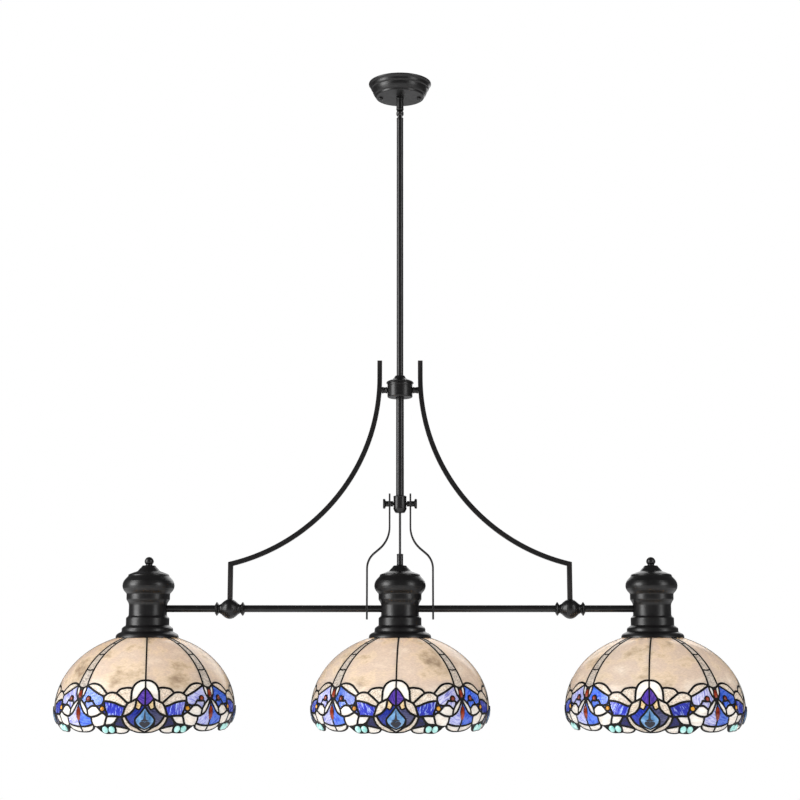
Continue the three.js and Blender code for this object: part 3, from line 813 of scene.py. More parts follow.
def straps():
    """The knuckle on the lower rod, its spacers and thumb screws, and the two straps."""
    turned("strap_knuckle", [(7.2, 0), (10.2, 0), (10.8, 0.4), (11.6, 1.3), (11.7, 2.2), (11.3, 3.0),
                             (11.3, 20.4), (11.7, 21.2), (11.7, 22.4), (11.2, 24), (10.2, 26.2),
                             (8.8, 28.8), (7.9, 29.8), (7.2, 30), (2.4, 30), (2.4, 8), (7.2, 8)],
           sides=80)
    for word, side in SIDES.items():
        strap(word, side)
        turned_x(f"strap_spacer_{word}", [(3.1, 0), (4.6, 0), (4.9, 0.3), (4.9, 4.3), (4.6, 4.6),
                                          (3.1, 4.6)], side)
        node = f"thumb_screw_{word}"
        screw = turned_x(node, [(0, 0), (7.8, 0), (8.4, 0.3), (8.7, 0.9), (8.7, 3.2), (8.4, 3.8), (7.4, 4.2),
                                (5.6, 4.7), (5.0, 5.4), (4.9, 6.4), (4.9, 8.2), (5.2, 8.6), (5.2, 10.0),
                                (THUMB_R, 10.0), (THUMB_R, 22.8), (0, 22.8)], side, sides=64)
        low, high = box_mm(node)
        tip = high.x if side > 0 else low.x
        slotted(screw, (tip, 0, (low.z + high.z) / 2), (1.6, 12, 1.3))


def bars():
    """The bar's four tubes, the ball that joins each pair under an arm's post, and the leads inside."""
    for word, side in SIDES.items():
        for part in ("inner", "outer"):
            low, high = box_mm(f"{part}_bar_{word}")
            profile = tube_profile(BAR_R, high.x - low.x)
            turned_x(f"{part}_bar_{word}", profile, side, sides=56, edge=0.1)
        half = [(6.35, 25.6), (7.4, 25.6), (8.4, 25.0), (9.6, 24.2), (11.2, 23.5), (11.9, 22.8), (11.9, 22.0),
                (11.0, 21.2), (9.0, 20.0), (7.7, 18.9), (7.4, 18.0), (7.8, 17.1), (8.8, 15.6), (9.4, 14.2),
                (10.6, 13.2), (13.6, 9.7), (15.4, 7.0), (16.6, 4.2), (17.2, 1.4)]
        top = half[0][1]
        profile = [(r, top - d) for r, d in half] + [(r, top + d) for r, d in reversed(half)]
        profile += [(6.35, top + 6), (3.5, top + 6), (3.5, top - 6), (6.35, top - 6)]
        turned_x(f"ball_connector_{word}", profile, side, sides=80, edge=0.25)
        lead = f"lamp_lead_{word}"
        low, high = box_mm(lead)
        turned_x(lead, [(0, 0), (1.4, 0.1), (1.4, high.x - low.x - 0.1), (0, high.x - low.x)], side,
                 CABLE, sides=16)


def cord():
    """The braided cord from the hub to the centre lamp, held at both ends, and the tube it enters."""
    low, high = box_mm("pendant_cord")
    length = high.z - low.z
    turned("pendant_cord", [(0, 0), (1.8, 0), (CORD_R, 0.3), (CORD_R, length - 0.3), (1.8, length),
                            (0, length)], CABLE, sides=28, edge=0.1)
    turned("cord_tube", [(2.4, 0), (4.4, 0), (5.0, 0.2), (5.7, 0.9), (5.9, 1.6), (5.5, 2.4), (5.5, 18.6),
                         (5.9, 19.4), (5.8, 20), (4.8, 20), (4.8, 98.3), (2.4, 98.3)], sides=56)


# ---- Lamps ----
BELL_OUTSIDE = [(10.2, 0), (10.9, 0.15), (11.7, 0.7), (13.2, 3), (16.2, 6), (18.9, 9.2), (19.8, 10),
                (21.4, 10.6), (27.8, 12.8), (33.8, 15.2), (35, 16.3), (35.1, 17.6), (36.2, 19.4),
                (40, 23.4), (42.6, 27), (44.2, 31), (44.7, 35.5), (44, 39.6), (41.6, 44), (38.6, 47.4),
                (37.6, 48.6), (37.3, 50), (37.3, 58.2), (36.7, 59.6), (34.0, 64.0), (33.0, 66.6),
                (32.7, 68.6), (32.7, 85), (33.4, 87.2), (35.6, 89.2), (36.6, 90), (37.1, 91.6),
                (37.1, 102.4), (37.6, 103.6), (40.4, 105.3), (43.0, 107.4), (43.9, 109.4), (43.9, 113),
                (44.9, 114.6), (49.0, 116.3), (52.2, 118.6), (53.6, 121.4), (53.9, 124.4)]
BELL_INSIDE = [(52.3, 124.4), (51.6, 121.6), (49.2, 118.6), (42.2, 115), (42.0, 109), (35.4, 104.4),
               (35.4, 92.2), (31.1, 87), (31.1, 67), (35.6, 58), (35.6, 49.4), (42.4, 36), (34.6, 20.4),
               (18, 12.6), (9.6, 2.4), (5.1, 2.4)]


def lampholder(word):
    """The bell and its finial, the porcelain socket, the cap and ring that clamp the glass, and the bulb."""
    turned(f"fitter_{word}", [(5.1, 0), *BELL_OUTSIDE, *BELL_INSIDE], sides=128, edge=0.25)
    turned(f"socket_{word}", [(0, 6), (5.1, 6), (5.1, 0), (12.6, 0), (14.4, 0.8), (16.6, 3.0), (17, 4.4),
                              (17, 30), (17.8, 31), (23.2, 34.6), (24, 35.4), (24, 38), (23.4, 38.6),
                              (20, 38.6), *[(20 - 0.7 * (i % 2), 39.6 + 0.9 * i) for i in range(15)],
                              (19.6, 53.4), (18.6, 54), (14, 54), (14, 24), (0, 24)], PORCELAIN, sides=80)
    turned(f"shade_cap_{word}", [(20.3, 0), (40, 0), (42.4, 0.25), (46, 0.9), (49.4, 1.9), (50.4, 2.6),
                                 (50.2, 3.3), (49.4, 3.2), (45.6, 2.2), (42, 1.4), (20.3, 1.4)], BRASS,
           sides=96)
    turned(f"shade_ring_{word}", [(20.3, 0), (26.6, 0), (28.2, 0.5), (29, 1.4), (29, 6.2), (28.4, 7.1),
                                  (26, 7.9), (20.3, 7.9)], BRASS, sides=96)
    if f"finial_{word}" in frame["nodes"]:
        turned(f"finial_{word}", [(0, 0), (1.6, 0.12), (3.2, 0.6), (4.9, 1.6), (6.4, 3.2), (7.5, 5.2),
                                  (8, 7.4), (7.9, 9.0), (7.3, 10.7), (6.2, 12.2), (5.6, 13.0),
                                  (5.9, 13.9), (6, 14.5), (4.8, 14.5), (4.8, 92.8), (0, 92.8)], sides=56)
    bulb(word)


BULB_BASE = 30  # length of the screw base
BULB_R = 30
BULB_EQUATOR = 79  # depth of the widest point


def bulb(word):
    """A screw-base lamp: a frosted envelope, and a threaded base with its insulator and contact."""
    node = f"bulb_{word}"
    low, high = box_mm(node)
    at = ((low.x + high.x) / 2, (low.y + high.y) / 2, high.z)
    thread = [(12.4 + 0.6 * math.sin(2 * math.pi * depth / 3.6), -depth)
              for depth in (7.4 + 0.6 * i for i in range(30))]
    verts, faces = revolve([(0, 0), (3.4, -0.2), (4.2, -0.7), (4.9, -2.4), (8.5, -4.2), (12.2, -5.6), *thread,
                            (12.6, -26), (13, -27), (13, -BULB_BASE), (0, -BULB_BASE)], 64, 0.2)
    piece(f"bulb_{word}_base", moved(verts, at), faces, STEEL, BODY_OF[node], [node])
    neck = smooth_path([(12.6, -30.2), (13.8, -36), (20.6, -46.5), (27.4, -61.5), (BULB_R, -BULB_EQUATOR)], 3)
    bottom = high.z - low.z - BULB_EQUATOR
    crown = [(BULB_R * math.cos(t), -BULB_EQUATOR - bottom * math.sin(t))
             for t in (math.pi / 2 * i / 16 for i in range(1, 16))]
    verts, faces = revolve([(0, -30.2), *[tuple(p) for p in neck], *crown, (0, low.z - high.z)], 64, 0)
    piece(f"bulb_{word}_envelope", moved(verts, at), faces, BULB, BODY_OF[node], [node])


# ---- Leaded glass shades ----
# A shade is a flattened dome. A place on it is (azimuth, height): degrees from the middle of a front panel,
# and millimetres above the rim. The pattern repeats every quarter turn and is mirrored about 0 and 45
# degrees, so everything below is drawn for 0 to 45.
LATTICE = 5.0  # between the points inside a pane, so that it can follow the dome
DOME_R = 152.4
DOME_UPPER = 128
DOME_LOWER = 80
EQUATOR_HEIGHT = 31.4
GLASS = 3.0
CROWN_POLAR = 16.8  # the opening at the top
CROWN = EQUATOR_HEIGHT + DOME_UPPER * math.cos(math.radians(CROWN_POLAR))
SPREAD = Vector((2.6, 2.5))  # millimetres on the flattened dome for a degree of azimuth and of polar angle

TIP = (14.1, 25.4)  # where leaf, crescent, blue and white panes meet
FORK = (18.3, 63)
EYE = (26.5, 57.5)
KNOT = (41.0, 74.4)
SPLIT = (26.3, 50.2)
HEEL = (23.8, 26.2)
RIM_FORK = (18.9, 10.8)
LEADS = {
    "seam": [(0, CROWN), (0, 43)],
    "arch": [(0, 83.5), (3.7, 82.2), (6.9, 76.5), (8.4, 67.5), (8.6, 60), (8.7, 49.5)],
    "heart": [(0, 72), (2.6, 65), (5.3, 54)],
    "heart_foot": [(5.3, 54), (1.9, 45), (0, 43)],
    "diamond": [(6.1, 40.5), (3.5, 37), (1.9, 45)],
    "leaf": [(5.3, 54), (8.7, 49.5), (10.6, 47), (11.9, 41.5), (12.6, 36), TIP],
    "leaf_foot": [(5.3, 54), (6.1, 40.5), (9, 31), (12, 27.2), TIP],
    "drop": [(0, 41), (2.7, 31), (5.9, 20.8), (4.1, 11), (0, 5.4)],
    "collar": [(5.9, 20.8), (5.6, 13), (4.4, 7.4), (0, 0.4)],
    "crescent": [(12, 27.2), (11.0, 22), (8.6, 13.5), (4.4, 7.4)],
    "crescent_back": [TIP, (12.6, 14), (9.4, 4.6)],
    "petal": [(7.8, 70.6), (10.6, 71.6), (13.4, 71), (16.2, 69), FORK],
    "petal_side": [FORK, (14.6, 56), (10.6, 47)],
    "wing": [FORK, (21, 64), (24, 62.5), EYE],
    "wing_side": [EYE, SPLIT, (27.3, 44)],
    "wing_foot": [SPLIT, (22.5, 49.6), (18.5, 47.3), (14.8, 43.4), (11.9, 41.5)],
    "blue_side": [SPLIT, (25.7, 46), (24.9, 38), (23.4, 30), HEEL],
    "blue_foot": [HEEL, (19, 26.6), (16.2, 25.8), TIP],
    "white_foot": [(16.2, 25.8), (18.5, 17), (21.0, 12.9), (25.9, 11.9)],
    "blade": [(26.9, 32), (25.4, 30.5), HEEL, (24.5, 20), (25.9, 11.9), (29.3, 9)],
    "blade_foot": [(29.3, 9), (31.5, 8.5)],
    "blade_side": [(33.6, 9.6), (34.3, 15), (34.5, 19), (34.6, 24.8)],
    "blade_top": [(34.6, 24.8), (30.9, 26.6), (26.9, 32)],
    "navy_side": [(18.5, 17), RIM_FORK],
    "navy_foot": [RIM_FORK, (15.5, 9.2), (12.4, 7.6), (9.8, 5.8)],
    "shoe_side": [RIM_FORK, (18.7, 5), (19, -0.6)],
    "bud": [(26.9, 32), (29.2, 38), (31, 42.4)],
    "bud_top": [(31, 42.4), (34.6, 42.2), (37.7, 36)],
    "bud_foot": [(36.8, 26), (34.6, 24.8)],
    "lobe_foot": [(27.3, 44), (29.5, 42.6), (31, 42.4), (32.3, 44)],
    "lobe_side": [(32.3, 44), (34.1, 50.5)],
    "ear_foot": [EYE, (32.2, 64), (38.4, 71.8), KNOT],
    "ear": [KNOT, (38.5, 77), (35.7, 77.8), (32.5, 76.6), (29.8, 73.8), (27.0, 68), (24.4, 61.8)],
    "lilac_top": [(34.1, 50.5), (36, 49.7), (39.6, 49), (39.4, 42.5)],
    "slip": [KNOT, (40.8, 68), (41.6, 60), (42.8, 55)],
    "slip_side": [(42.8, 55), (43.6, 60), (43.9, 66), (43.4, 71.3)],
    "slip_foot": [(42.8, 55), (43.0, 50.8)],
    "ladder_foot": [KNOT, (43, 71.5), (45, 70.5)],
    "ladder": [KNOT, (41.3, 100), (41.4, 125), (41.6, CROWN)],
    "rung_1": [(41.3, 100), (45, 99)],
    "rung_2": [(41.4, 125), (45, 124)],
    "rung_3": [(41.5, 143), (45, 142.4)],
    "fleur": [(45, 54), (42.2, 49.5), (39.4, 42.5), (37.7, 36), (37.2, 31), (36.8, 26)],
    "fleur_side": [(45, 53), (43.2, 43), (41.5, 36), (39.5, 30), (36.8, 26)],
    "marquise": [(45, 42), (43.5, 31), (45, 19.5)],
    "stalk": [(45, 54), (45, 42)],
    "bar": [(45, 19.5), (45, -0.3)],
    "band": [(45, 8.5), (41, 9), (37.5, 10.5), (34.1, 13)],
}
THIN = {"seam", "rung_1", "rung_2", "rung_3", "diamond", "heart", "heart_foot", "navy_side", "slip_foot"}
RIM = [(0, -0.3), (5, 0.8), (9.4, 4.6), (11.2, 1), (13.5, -1), (16.5, -1.5), (19, -0.6), (22.2, -1.5),
       (26.2, -1.4), (28.9, 2), (31.5, 8.5), (33.6, 9.6), (35, 5), (38, 1.6), (41.5, 0), (45, -0.3)]

# Each pane: a point inside it, its glass (or two, for the pane and its mirror image), and the mirror line
# that it lies across, if any.
PANES = {
    "panel": ((20, 110), "panel", None),
    "rungs_0": ((44, 86), "ladder", 45),
    "rungs_1": ((44, 112), "ladder", 45),
    "rungs_2": ((44, 134), "ladder", 45),
    "rungs_3": ((44, 150), "ladder", 45),
    "arch": ((6, 66), "white", None),
    "heart": ((2, 58), "purple", None),
    "diamond": ((4, 44), "honey", None),
    "leaf": ((10, 38), "cream", None),
    "night": ((6, 30), "slate royal", None),
    "collar": ((0.3, 3), "white", 0),
    "drop": ((0.5, 20), "lead", 0),
    "crescent": ((8, 6), "cream", None),
    "petal": ((13, 62), "cream", None),
    "wing": ((20, 56), "cream", None),
    "stream": ((19, 36), "streaky", None),
    "sail": ((20, 21), "white", None),
    "navy": ((15.5, 17), "navy", None),
    "shoe": ((14, 3), "white", None),
    "pearls": ((24, 6), "lead", None),
    "blade": ((30, 18), "white", None),
    "bud": ((33, 33), "white", None),
    "stamen": ((26.2, 40), "streaky", None),
    "lobe": ((30, 52), "periwinkle azure", None),
    "ear": ((32, 70), "cream", None),
    "lilac": ((36.5, 44), "periwinkle azure", None),
    "slip": ((42.2, 64), "white", None),
    "throat": ((44.7, 60), "lead", 45),
    "fleur": ((40.5, 41), "white", None),
    "marquise": ((44.5, 31), "lead", 45),
    "fan": ((40, 16), "periwinkle azure", None),
    "band": ((41, 4), "white", None),
}


def polar_at(height):
    """Polar angle, in degrees from the top, of a height on the dome."""
    rise = height - EQUATOR_HEIGHT
    return math.degrees(math.acos(rise / (DOME_UPPER if rise > 0 else DOME_LOWER)))


def on_dome(azimuth, polar, inset=0.0):
    """The point on a shade, with its equator at z = 0, and the outward normal there."""
    a, t = math.radians(azimuth), math.radians(polar)
    tall = DOME_UPPER if polar < 90 else DOME_LOWER
    out = Vector((math.sin(a), -math.cos(a), 0))
    point = out * DOME_R * math.sin(t) + Vector((0, 0, tall * math.cos(t)))
    normal = (out * tall * math.sin(t) + Vector((0, 0, DOME_R * math.cos(t)))).normalized()
    return point - normal * inset, normal


def flat(azimuth, height):
    """A place on the flattened dome."""
    return Vector((azimuth * SPREAD.x, polar_at(height) * SPREAD.y))


def lead_path(points, step=2.4, overlap=0.5):
    """A lead's smooth line on the flattened dome, run on a little way at both ends."""
    path = smooth_path([flat(*p) for p in points], step)
    first = path[0] + (path[0] - path[1]).normalized() * overlap
    last = path[-1] + (path[-1] - path[-2]).normalized() * overlap
    return [first, *path[1:-1], last] if len(path) > 2 else [first, last]


def rim_path():
    """The scalloped rim on the flattened dome, from one mirror line to the other."""
    path = smooth_path([flat(*p) for p in RIM], 2.4)
    path[0].x, path[-1].x = 0.0, 45 * SPREAD.x
    return path


def pane_shapes():
    """Cuts half a repeat of the flattened dome along its leads: {pane: (points, triangles)}."""
    points, edges, known = [], [], {}

    def add(path):
        previous = None
        for p in path:
            key = (round(p.x, 2), round(p.y, 2))
            if key not in known:
                known[key] = len(points)
                points.append(Vector(key))
            if previous is not None and previous != known[key]:
                edges.append((previous, known[key]))
            previous = known[key]

    right = 45 * SPREAD.x
    top = CROWN_POLAR * SPREAD.y
    rim = rim_path()
    add(rim)
    for x, end in ((0.0, rim[0]), (right, rim[-1])):
        count = round((end.y - top) / 4)
        add([Vector((x, top + (end.y - top) * i / count)) for i in range(count + 1)])
    add([Vector((right * i / 30, top)) for i in range(31)])
    for points_of in LEADS.values():
        add(lead_path(points_of))
    for row in range(int((polar_at(-1.5) * SPREAD.y - top) / LATTICE) + 1):
        for column in range(int(right / LATTICE) + 1):
            add([Vector(((column + 0.5 * (row % 2) + 0.25) * LATTICE, top + (row + 0.5) * LATTICE))])
    verts, _, triangles, _, edge_sources, _ = cut_up(points, edges)

    across = {}
    for index, triangle in enumerate(triangles):
        for i in range(3):
            across.setdefault(frozenset((triangle[i], triangle[i - 1])), []).append(index)
    owner = [None] * len(triangles)
    shapes = {}
    for name, (seed, _, _) in PANES.items():
        start = next(i for i, t in enumerate(triangles)
                     if geometry.intersect_point_tri_2d(flat(*seed), *[verts[k] for k in t]))
        if owner[start] is not None:
            raise ValueError(f"panes {name} and {owner[start]} are one")
        owner[start] = name
        front = [start]
        for index in front:
            triangle = triangles[index]
            for i in range(3):
                side = frozenset((triangle[i], triangle[i - 1]))
                if side in edge_sources:
                    continue
                for other in across[side]:
                    if owner[other] is None:
                        owner[other] = name
                        front.append(other)
        shapes[name] = compact(verts, [triangles[i] for i in front])
    return shapes


def cut_up(points, edges):
    """Constrained triangulation. The fifth result is the set of output edges that lie on an input edge."""
    result = list(geometry.delaunay_2d_cdt(points, edges, [], 0, 1e-4, True))
    result[4] = {frozenset(edge) for edge, sources in zip(result[1], result[4]) if sources}
    return result


def compact(verts, triangles):
    """(azimuth, polar) points and triangles that use only the points they need."""
    used = sorted({i for t in triangles for i in t})
    place = {old: new for new, old in enumerate(used)}
    points = [(verts[i].x / SPREAD.x, verts[i].y / SPREAD.y) for i in used]
    return points, [tuple(place[i] for i in t) for t in triangles]


def mirrored(shape, about):
    """A shape's mirror image about an azimuth."""
    points, triangles = shape
    return [(2 * about - a, t) for a, t in points], [tuple(reversed(t)) for t in triangles]


def merged(first, second):
    """Two shapes that share points along a line, as one."""
    points, triangles, known = [], [], {}
    for shape_points, shape_triangles in (first, second):
        place = []
        for point in shape_points:
            key = (round(point[0], 3), round(point[1], 3))
            if key not in known:
                known[key] = len(points)
                points.append(point)
            place.append(known[key])
        triangles += [tuple(place[i] for i in t) for t in shape_triangles]
    return points, triangles


def pane_solid(shape, turn, thickness):
    """A closed pane of the dome's curve, and each vertex's place on the flattened dome."""
    points, triangles = shape
    count = len(points)
    outer = [tuple(on_dome(a + turn, t)[0]) for a, t in points]
    inner = [tuple(on_dome(a + turn, t, thickness)[0]) for a, t in points]
    faces = list(triangles) + [tuple(i + count for i in reversed(t)) for t in triangles]
    directed = {(t[i], t[(i + 1) % 3]) for t in triangles for i in range(3)}
    for i, j in sorted(directed):
        if (j, i) not in directed:
            faces.append((j, i, i + count, j + count))
    verts = outer + inner
    places = [Vector((a * SPREAD.x, t * SPREAD.y)) for a, t in points] * 2
    return verts, outward(verts, faces), places


def shade_sheet(word, kind, panes, place, rng):
    """All of one shade's panes of one glass, each with its own grain and tint."""
    look, slot = GLASSES[kind]
    verts, faces, grains, tints = [], [], [], []
    for pane_verts, pane_faces, places in panes:
        start = len(verts)
        verts += pane_verts
        faces += [tuple(start + i for i in face) for face in pane_faces]
        angle = rng.uniform(-0.5, 0.5) + (0 if kind in UPRIGHT else rng.choice((0.0, 0.9, -0.9)))
        turn = Matrix.Rotation(angle, 2)
        shift = Vector((rng.uniform(0, 400), rng.uniform(0, 400)))
        grains += [mm(1) * (turn @ p + shift) for p in places]
        shade_of = 1 + rng.uniform(-1, 1) * TINT[kind]
        warm = 1 + rng.uniform(-1, 1) * TINT[kind] * 0.3
        tints += [(shade_of * warm, shade_of, shade_of / warm, 1.0)] * len(pane_verts)
    made = piece(f"shade_{word}_{kind}", place(verts), faces, look, "fixture", [f"shade_{word}"],
                 smooth=35)
    made.data.uv_layers.new(name="grain")
    made.data.color_attributes.new("tint", "FLOAT_COLOR", "CORNER")
    grain = made.data.uv_layers["grain"]
    tint = made.data.color_attributes["tint"]
    for loop in made.data.loops:
        grain.data[loop.index].uv = grains[loop.vertex_index]
        tint.data[loop.index].color = tints[loop.vertex_index]


def bead(path, half_width, half_height, closed=False):
    """A soldered lead along (azimuth, polar) points, proud of the glass inside and out."""
    found = [on_dome(a, t, GLASS / 2) for a, t in path]
    return swept([p for p, _ in found], [n for _, n in found], half_width, half_height, 8, closed)


THIN_LEAD = 2.1  # half widths of the leads
WIDE_LEAD = 2.9
RIM_LEAD = 2.1
CROWN_LEAD = 1.6
LEAD_PROUD = GLASS / 2 + 0.7


def shade_leads():
    """Every lead of a shade, its rim bead, the ring round its top opening, and its jewels' settings."""
    parts = []
    for name, points in LEADS.items():
        half = THIN_LEAD if name in THIN else WIDE_LEAD
        path = [(p.x / SPREAD.x, p.y / SPREAD.y) for p in lead_path(points)]
        on_axis = all(a in (0, 45) for a, _ in points)
        for quarter in range(4):
            parts.append(bead([(a + 90 * quarter, t) for a, t in path], half, LEAD_PROUD))
            if not on_axis:
                parts.append(bead([(90 * quarter - a, t) for a, t in path], half, LEAD_PROUD))
    rim = [(p.x / SPREAD.x, p.y / SPREAD.y) for p in rim_path()]
    whole = []
    for quarter in range(4):
        whole += [(a + 90 * quarter, t) for a, t in rim[:-1]]
        whole += [(90 * (quarter + 1) - a, t) for a, t in reversed(rim[1:])]
    parts.append(bead(whole, RIM_LEAD, LEAD_PROUD, True))
    parts.append(bead([(5 * i, CROWN_POLAR) for i in range(72)], CROWN_LEAD, LEAD_PROUD, True))
    for radius, azimuth, height in SETTINGS:
        for quarter in range(4):
            for spot in (90 * quarter + azimuth, 90 * quarter - azimuth):
                parts.append(seated(setting(radius), spot, height))
    return join(*parts)


def setting(radius):
    """The soldered ring round a round jewel."""
    return revolve([(radius - 0.3, 1.4), (radius + 0.9, 1.6), (radius + 1.9, 0.9), (radius + 1.9, -1.2),
                    (radius - 0.3, -1.2)], 24, 0)


JEWEL_LEAN = 0.96  # rise for each millimetre up the glass, near the rim


def cabochon(width, height, dome=2.6):
    """A smooth domed jewel."""
    angles = [math.pi / 2 * i / 7 for i in range(1, 8)]
    profile = [(0, dome), *[(math.sin(t), dome * math.cos(t)) for t in angles], (1, -1.5), (0, -1.5)]
    verts, faces = revolve(profile, 24, 0)
    return [(x * width, y * height, z) for x, y, z in verts], faces


def faceted(outline, table, rise, base=-1.5):
    """A cut jewel: an outline at the glass, and a flat table above it with the same number of points."""
    count = len(outline)
    levels = ((outline, base), (outline, 0.3), (table, rise))
    verts = [(x, y, z) for points, z in levels for x, y in points]
    faces = [tuple(reversed(range(count)))]
    for k in range(count):
        n = (k + 1) % count
        faces += [(k, n, n + count, k + count), (k + count, n + count, n + 2 * count),
                  (k + count, n + 2 * count, k + 2 * count)]
    faces.append(tuple(range(2 * count, 3 * count)))
    return verts, outward(verts, faces)


DROP = [(0, 20.5), (5.6, 11.6), (10.8, 5.4), (15.2, -0.2), (12.8, -6.2), (9.2, -10.6), (4.8, -13.6),
        (0, -15.8)]
DROP_TABLE = [(0, 5.5), (1.8, 2.4), (4.6, 0.4), (7.6, -1.6), (6.8, -5.2), (5.0, -7.8), (2.6, -9.4),
              (0, -10.4)]
# The dark heart and ridge laid on the drop jewel are painted shade: near-black glass over facets that a cut
# jewel shows dark only by what they reflect.
DROP_SHADE_HEART = [(0, -4.2), (2.4, -2.6), (6.6, -2.8), (9.3, -4.8), (8.6, -7.8), (6.0, -10.6), (3.0, -12.6),
              (0, -14.2)]
DROP_SHADE_RIDGE = [(0, 17), (1.1, 10), (2.0, 3.5), (2.8, 0.9), (8.2, -1.2), (4.4, -2.0), (1.4, -2.1), (0, -3.2)]
AMBER = (3.7, 26.6, 38.2)  # radius, azimuth, height
GARNET = (3.7, 37.4, 53.4)
PEARLS = ((5.5, 21.3, 4.9), (5.5, 25.9, 4.5))
SETTINGS = (AMBER, GARNET)


def both_sides(half):
    """A closed outline from its right half, top to bottom."""
    return half + [(-x, y) for x, y in reversed(half[1:-1])]


def lens(half_width, half_height, steps=8):
    """A pointed oval outline."""
    half = [(half_width * math.sin(math.pi * i / steps) ** 0.9, half_height * math.cos(math.pi * i / steps))
            for i in range(steps + 1)]
    half[0], half[-1] = (0, half_height), (0, -half_height)
    return both_sides(half)


def scaled(outline, x, y):
    return [(a * x, b * y) for a, b in outline]


def jewels():
    """{kind: [(solid, azimuth, height)]} for half a repeat of the pattern."""
    drop = faceted(both_sides(DROP), both_sides(DROP_TABLE), 1.9)
    # The heart and the ridge are painted shade: near-black copies of the drop laid over its lower facets and
    # its middle.
    heart = faceted(both_sides(DROP_SHADE_HEART), scaled(both_sides(DROP_SHADE_HEART), 0.9, 0.93), 2.3, base=0.6)
    ridge = faceted(both_sides(DROP_SHADE_RIDGE), scaled(both_sides(DROP_SHADE_RIDGE), 0.85, 0.96), 2.4, base=0.6)
    marquise = lens(4.9, 11.8)
    oval = lens(4.3, 6.8, 6)
    return {
        "drop": [(drop, 0, 21)],
        "drop_painted_shade": [(heart, 0, 21), (ridge, 0, 21)],
        "amber_jewel": [(cabochon(AMBER[0], AMBER[0]), *AMBER[1:])],
        "red_jewel": [(cabochon(GARNET[0], GARNET[0]), *GARNET[1:]),
                      (faceted(marquise, scaled(marquise, 0.12, 0.62), 3.0), 45, 29.6),
                      (faceted(oval, scaled(oval, 0.3, 0.4), 2.6), 45, 61.0)],
        "aqua_pearl": [(cabochon(radius, radius, 3.4), *where) for radius, *where in PEARLS],
    }


def seated(solid, azimuth, height):
    """A jewel bent to the glass: x runs along the rim, y up the dome and z outwards."""
    verts, faces = solid
    verts = [tuple(on_dome(azimuth + math.degrees(x / DOME_R), polar_at(height + y * JEWEL_LEAN), -z)[0])
             for x, y, z in verts]
    return verts, outward(verts, faces)


def placer(at, turn):
    """Puts points made about a shade's own centre where that shade hangs."""
    matrix = Matrix.Translation(at) @ Matrix.Rotation(math.radians(turn), 4, "Z")
    return lambda verts: [tuple(matrix @ Vector(v)) for v in verts]


def srgb(*levels):
    """A colour from 0 to 255 levels as the shader's linear one."""
    return tuple(round((level / 255) ** 2.2, 4) for level in levels)


TINT = {"panel": 0.04, "ladder": 0.06, "white": 0.03, "cream": 0.06, "honey": 0.1, "purple": 0.12,
        "royal": 0.25, "azure": 0.2, "slate": 0.12, "navy": 0.2, "streaky": 0.2, "periwinkle": 0.1,
        "lead": 0.05}
UPRIGHT = {"panel", "ladder", "streaky"}  # glasses whose grain stays nearly upright


def glass(slot, name, levels, *settings):
    """A kind of sheet glass, and the material slot that it stands for."""
    return sheet_glass(name, [srgb(*level) for level in levels], *settings), slot


def jewel(name, deep, light, rough, clear, sharp):
    """A kind of jewel glass, and the angle in degrees from which its edges are sharp."""
    return cast_glass(name, srgb(*deep), srgb(*light), rough, clear), sharp


# Slot, name, colours from 0 to 255, then stretch, scale, ripple, roughness, glow, clear, flecks and swirl.
GLASSES = {
    "panel": glass("shade_glass", "opal_panel", [(166, 146, 124), (200, 182, 158), (219, 202, 180),
                                                 (208, 191, 176), (217, 202, 185), (225, 213, 199)],
                   (1, 1.5, 1), 13, 0.25, 0.2, 0.42, 0.1, (0.86, 170, (1, 5, 1)), 0.0),
    "ladder": glass("shade_glass", "opal_ladder", [(176, 161, 149), (208, 196, 182), (224, 213, 200)],
                    (1, 5, 1), 120, 0.7, 0.3, 0.34, 0.1, (0.55, 150, (1, 3.2, 1))),
    "white": glass("shade_glass", "opal_white", [(222, 214, 205), (240, 235, 228), (247, 244, 239)],
                   (1, 2, 1), 60, 0.4, 0.2, 0.45, 0.1, (0.93, 260, (1, 2, 1))),
    "cream": glass("shade_glass", "opal_cream", [(206, 186, 164), (236, 222, 204), (244, 234, 222)],
                   (1, 2.5, 1), 130, 0.9, 0.26, 0.4, 0.1, (0.6, 300, (1, 2.2, 1))),
    "honey": glass("shade_glass", "opal_honey", [(200, 160, 104), (232, 204, 152), (240, 222, 184)],
                   (1, 2, 1), 110, 0.7, 0.26, 0.4, 0.1, (0.7, 300, (1, 2, 1))),
    "purple": glass("blue_glass", "cathedral_purple", [(52, 34, 104), (80, 58, 156), (118, 84, 176)],
                    (1, 5, 1), 90, 0.8, 0.16, 0.25),
    "royal": glass("blue_glass", "cathedral_royal", [(20, 26, 96), (34, 50, 158), (56, 78, 190)],
                   (1, 4, 1), 90, 0.8, 0.14, 0.22),
    "azure": glass("blue_glass", "cathedral_azure", [(40, 62, 160), (54, 92, 204), (92, 132, 226),
                                                     (96, 92, 206)],
                   (1, 3, 1), 70, 0.8, 0.14, 0.25),
    "slate": glass("blue_glass", "cathedral_slate", [(40, 42, 66), (66, 68, 102), (98, 98, 130)],
                   (1, 4, 1), 90, 0.8, 0.14, 0.22),
    "navy": glass("blue_glass", "cathedral_navy", [(6, 8, 44), (12, 15, 78), (24, 28, 104)],
                  (1, 3, 1), 90, 0.8, 0.14, 0.2),
    "streaky": glass("blue_glass", "streaky_blue", [(36, 38, 128), (46, 52, 154), (58, 66, 180),
                                                    (50, 58, 168), (172, 190, 242), (54, 66, 184)],
                     (7, 1, 1), 56, 0.6, 0.16, 0.25),
    "periwinkle": glass("blue_glass", "streaky_periwinkle", [(96, 100, 186), (150, 152, 222),
                                                             (224, 226, 248), (126, 130, 212)],
                        (7, 1, 1), 60, 0.6, 0.18, 0.32),
    "lead": (LEAD, "lead_came"),
}
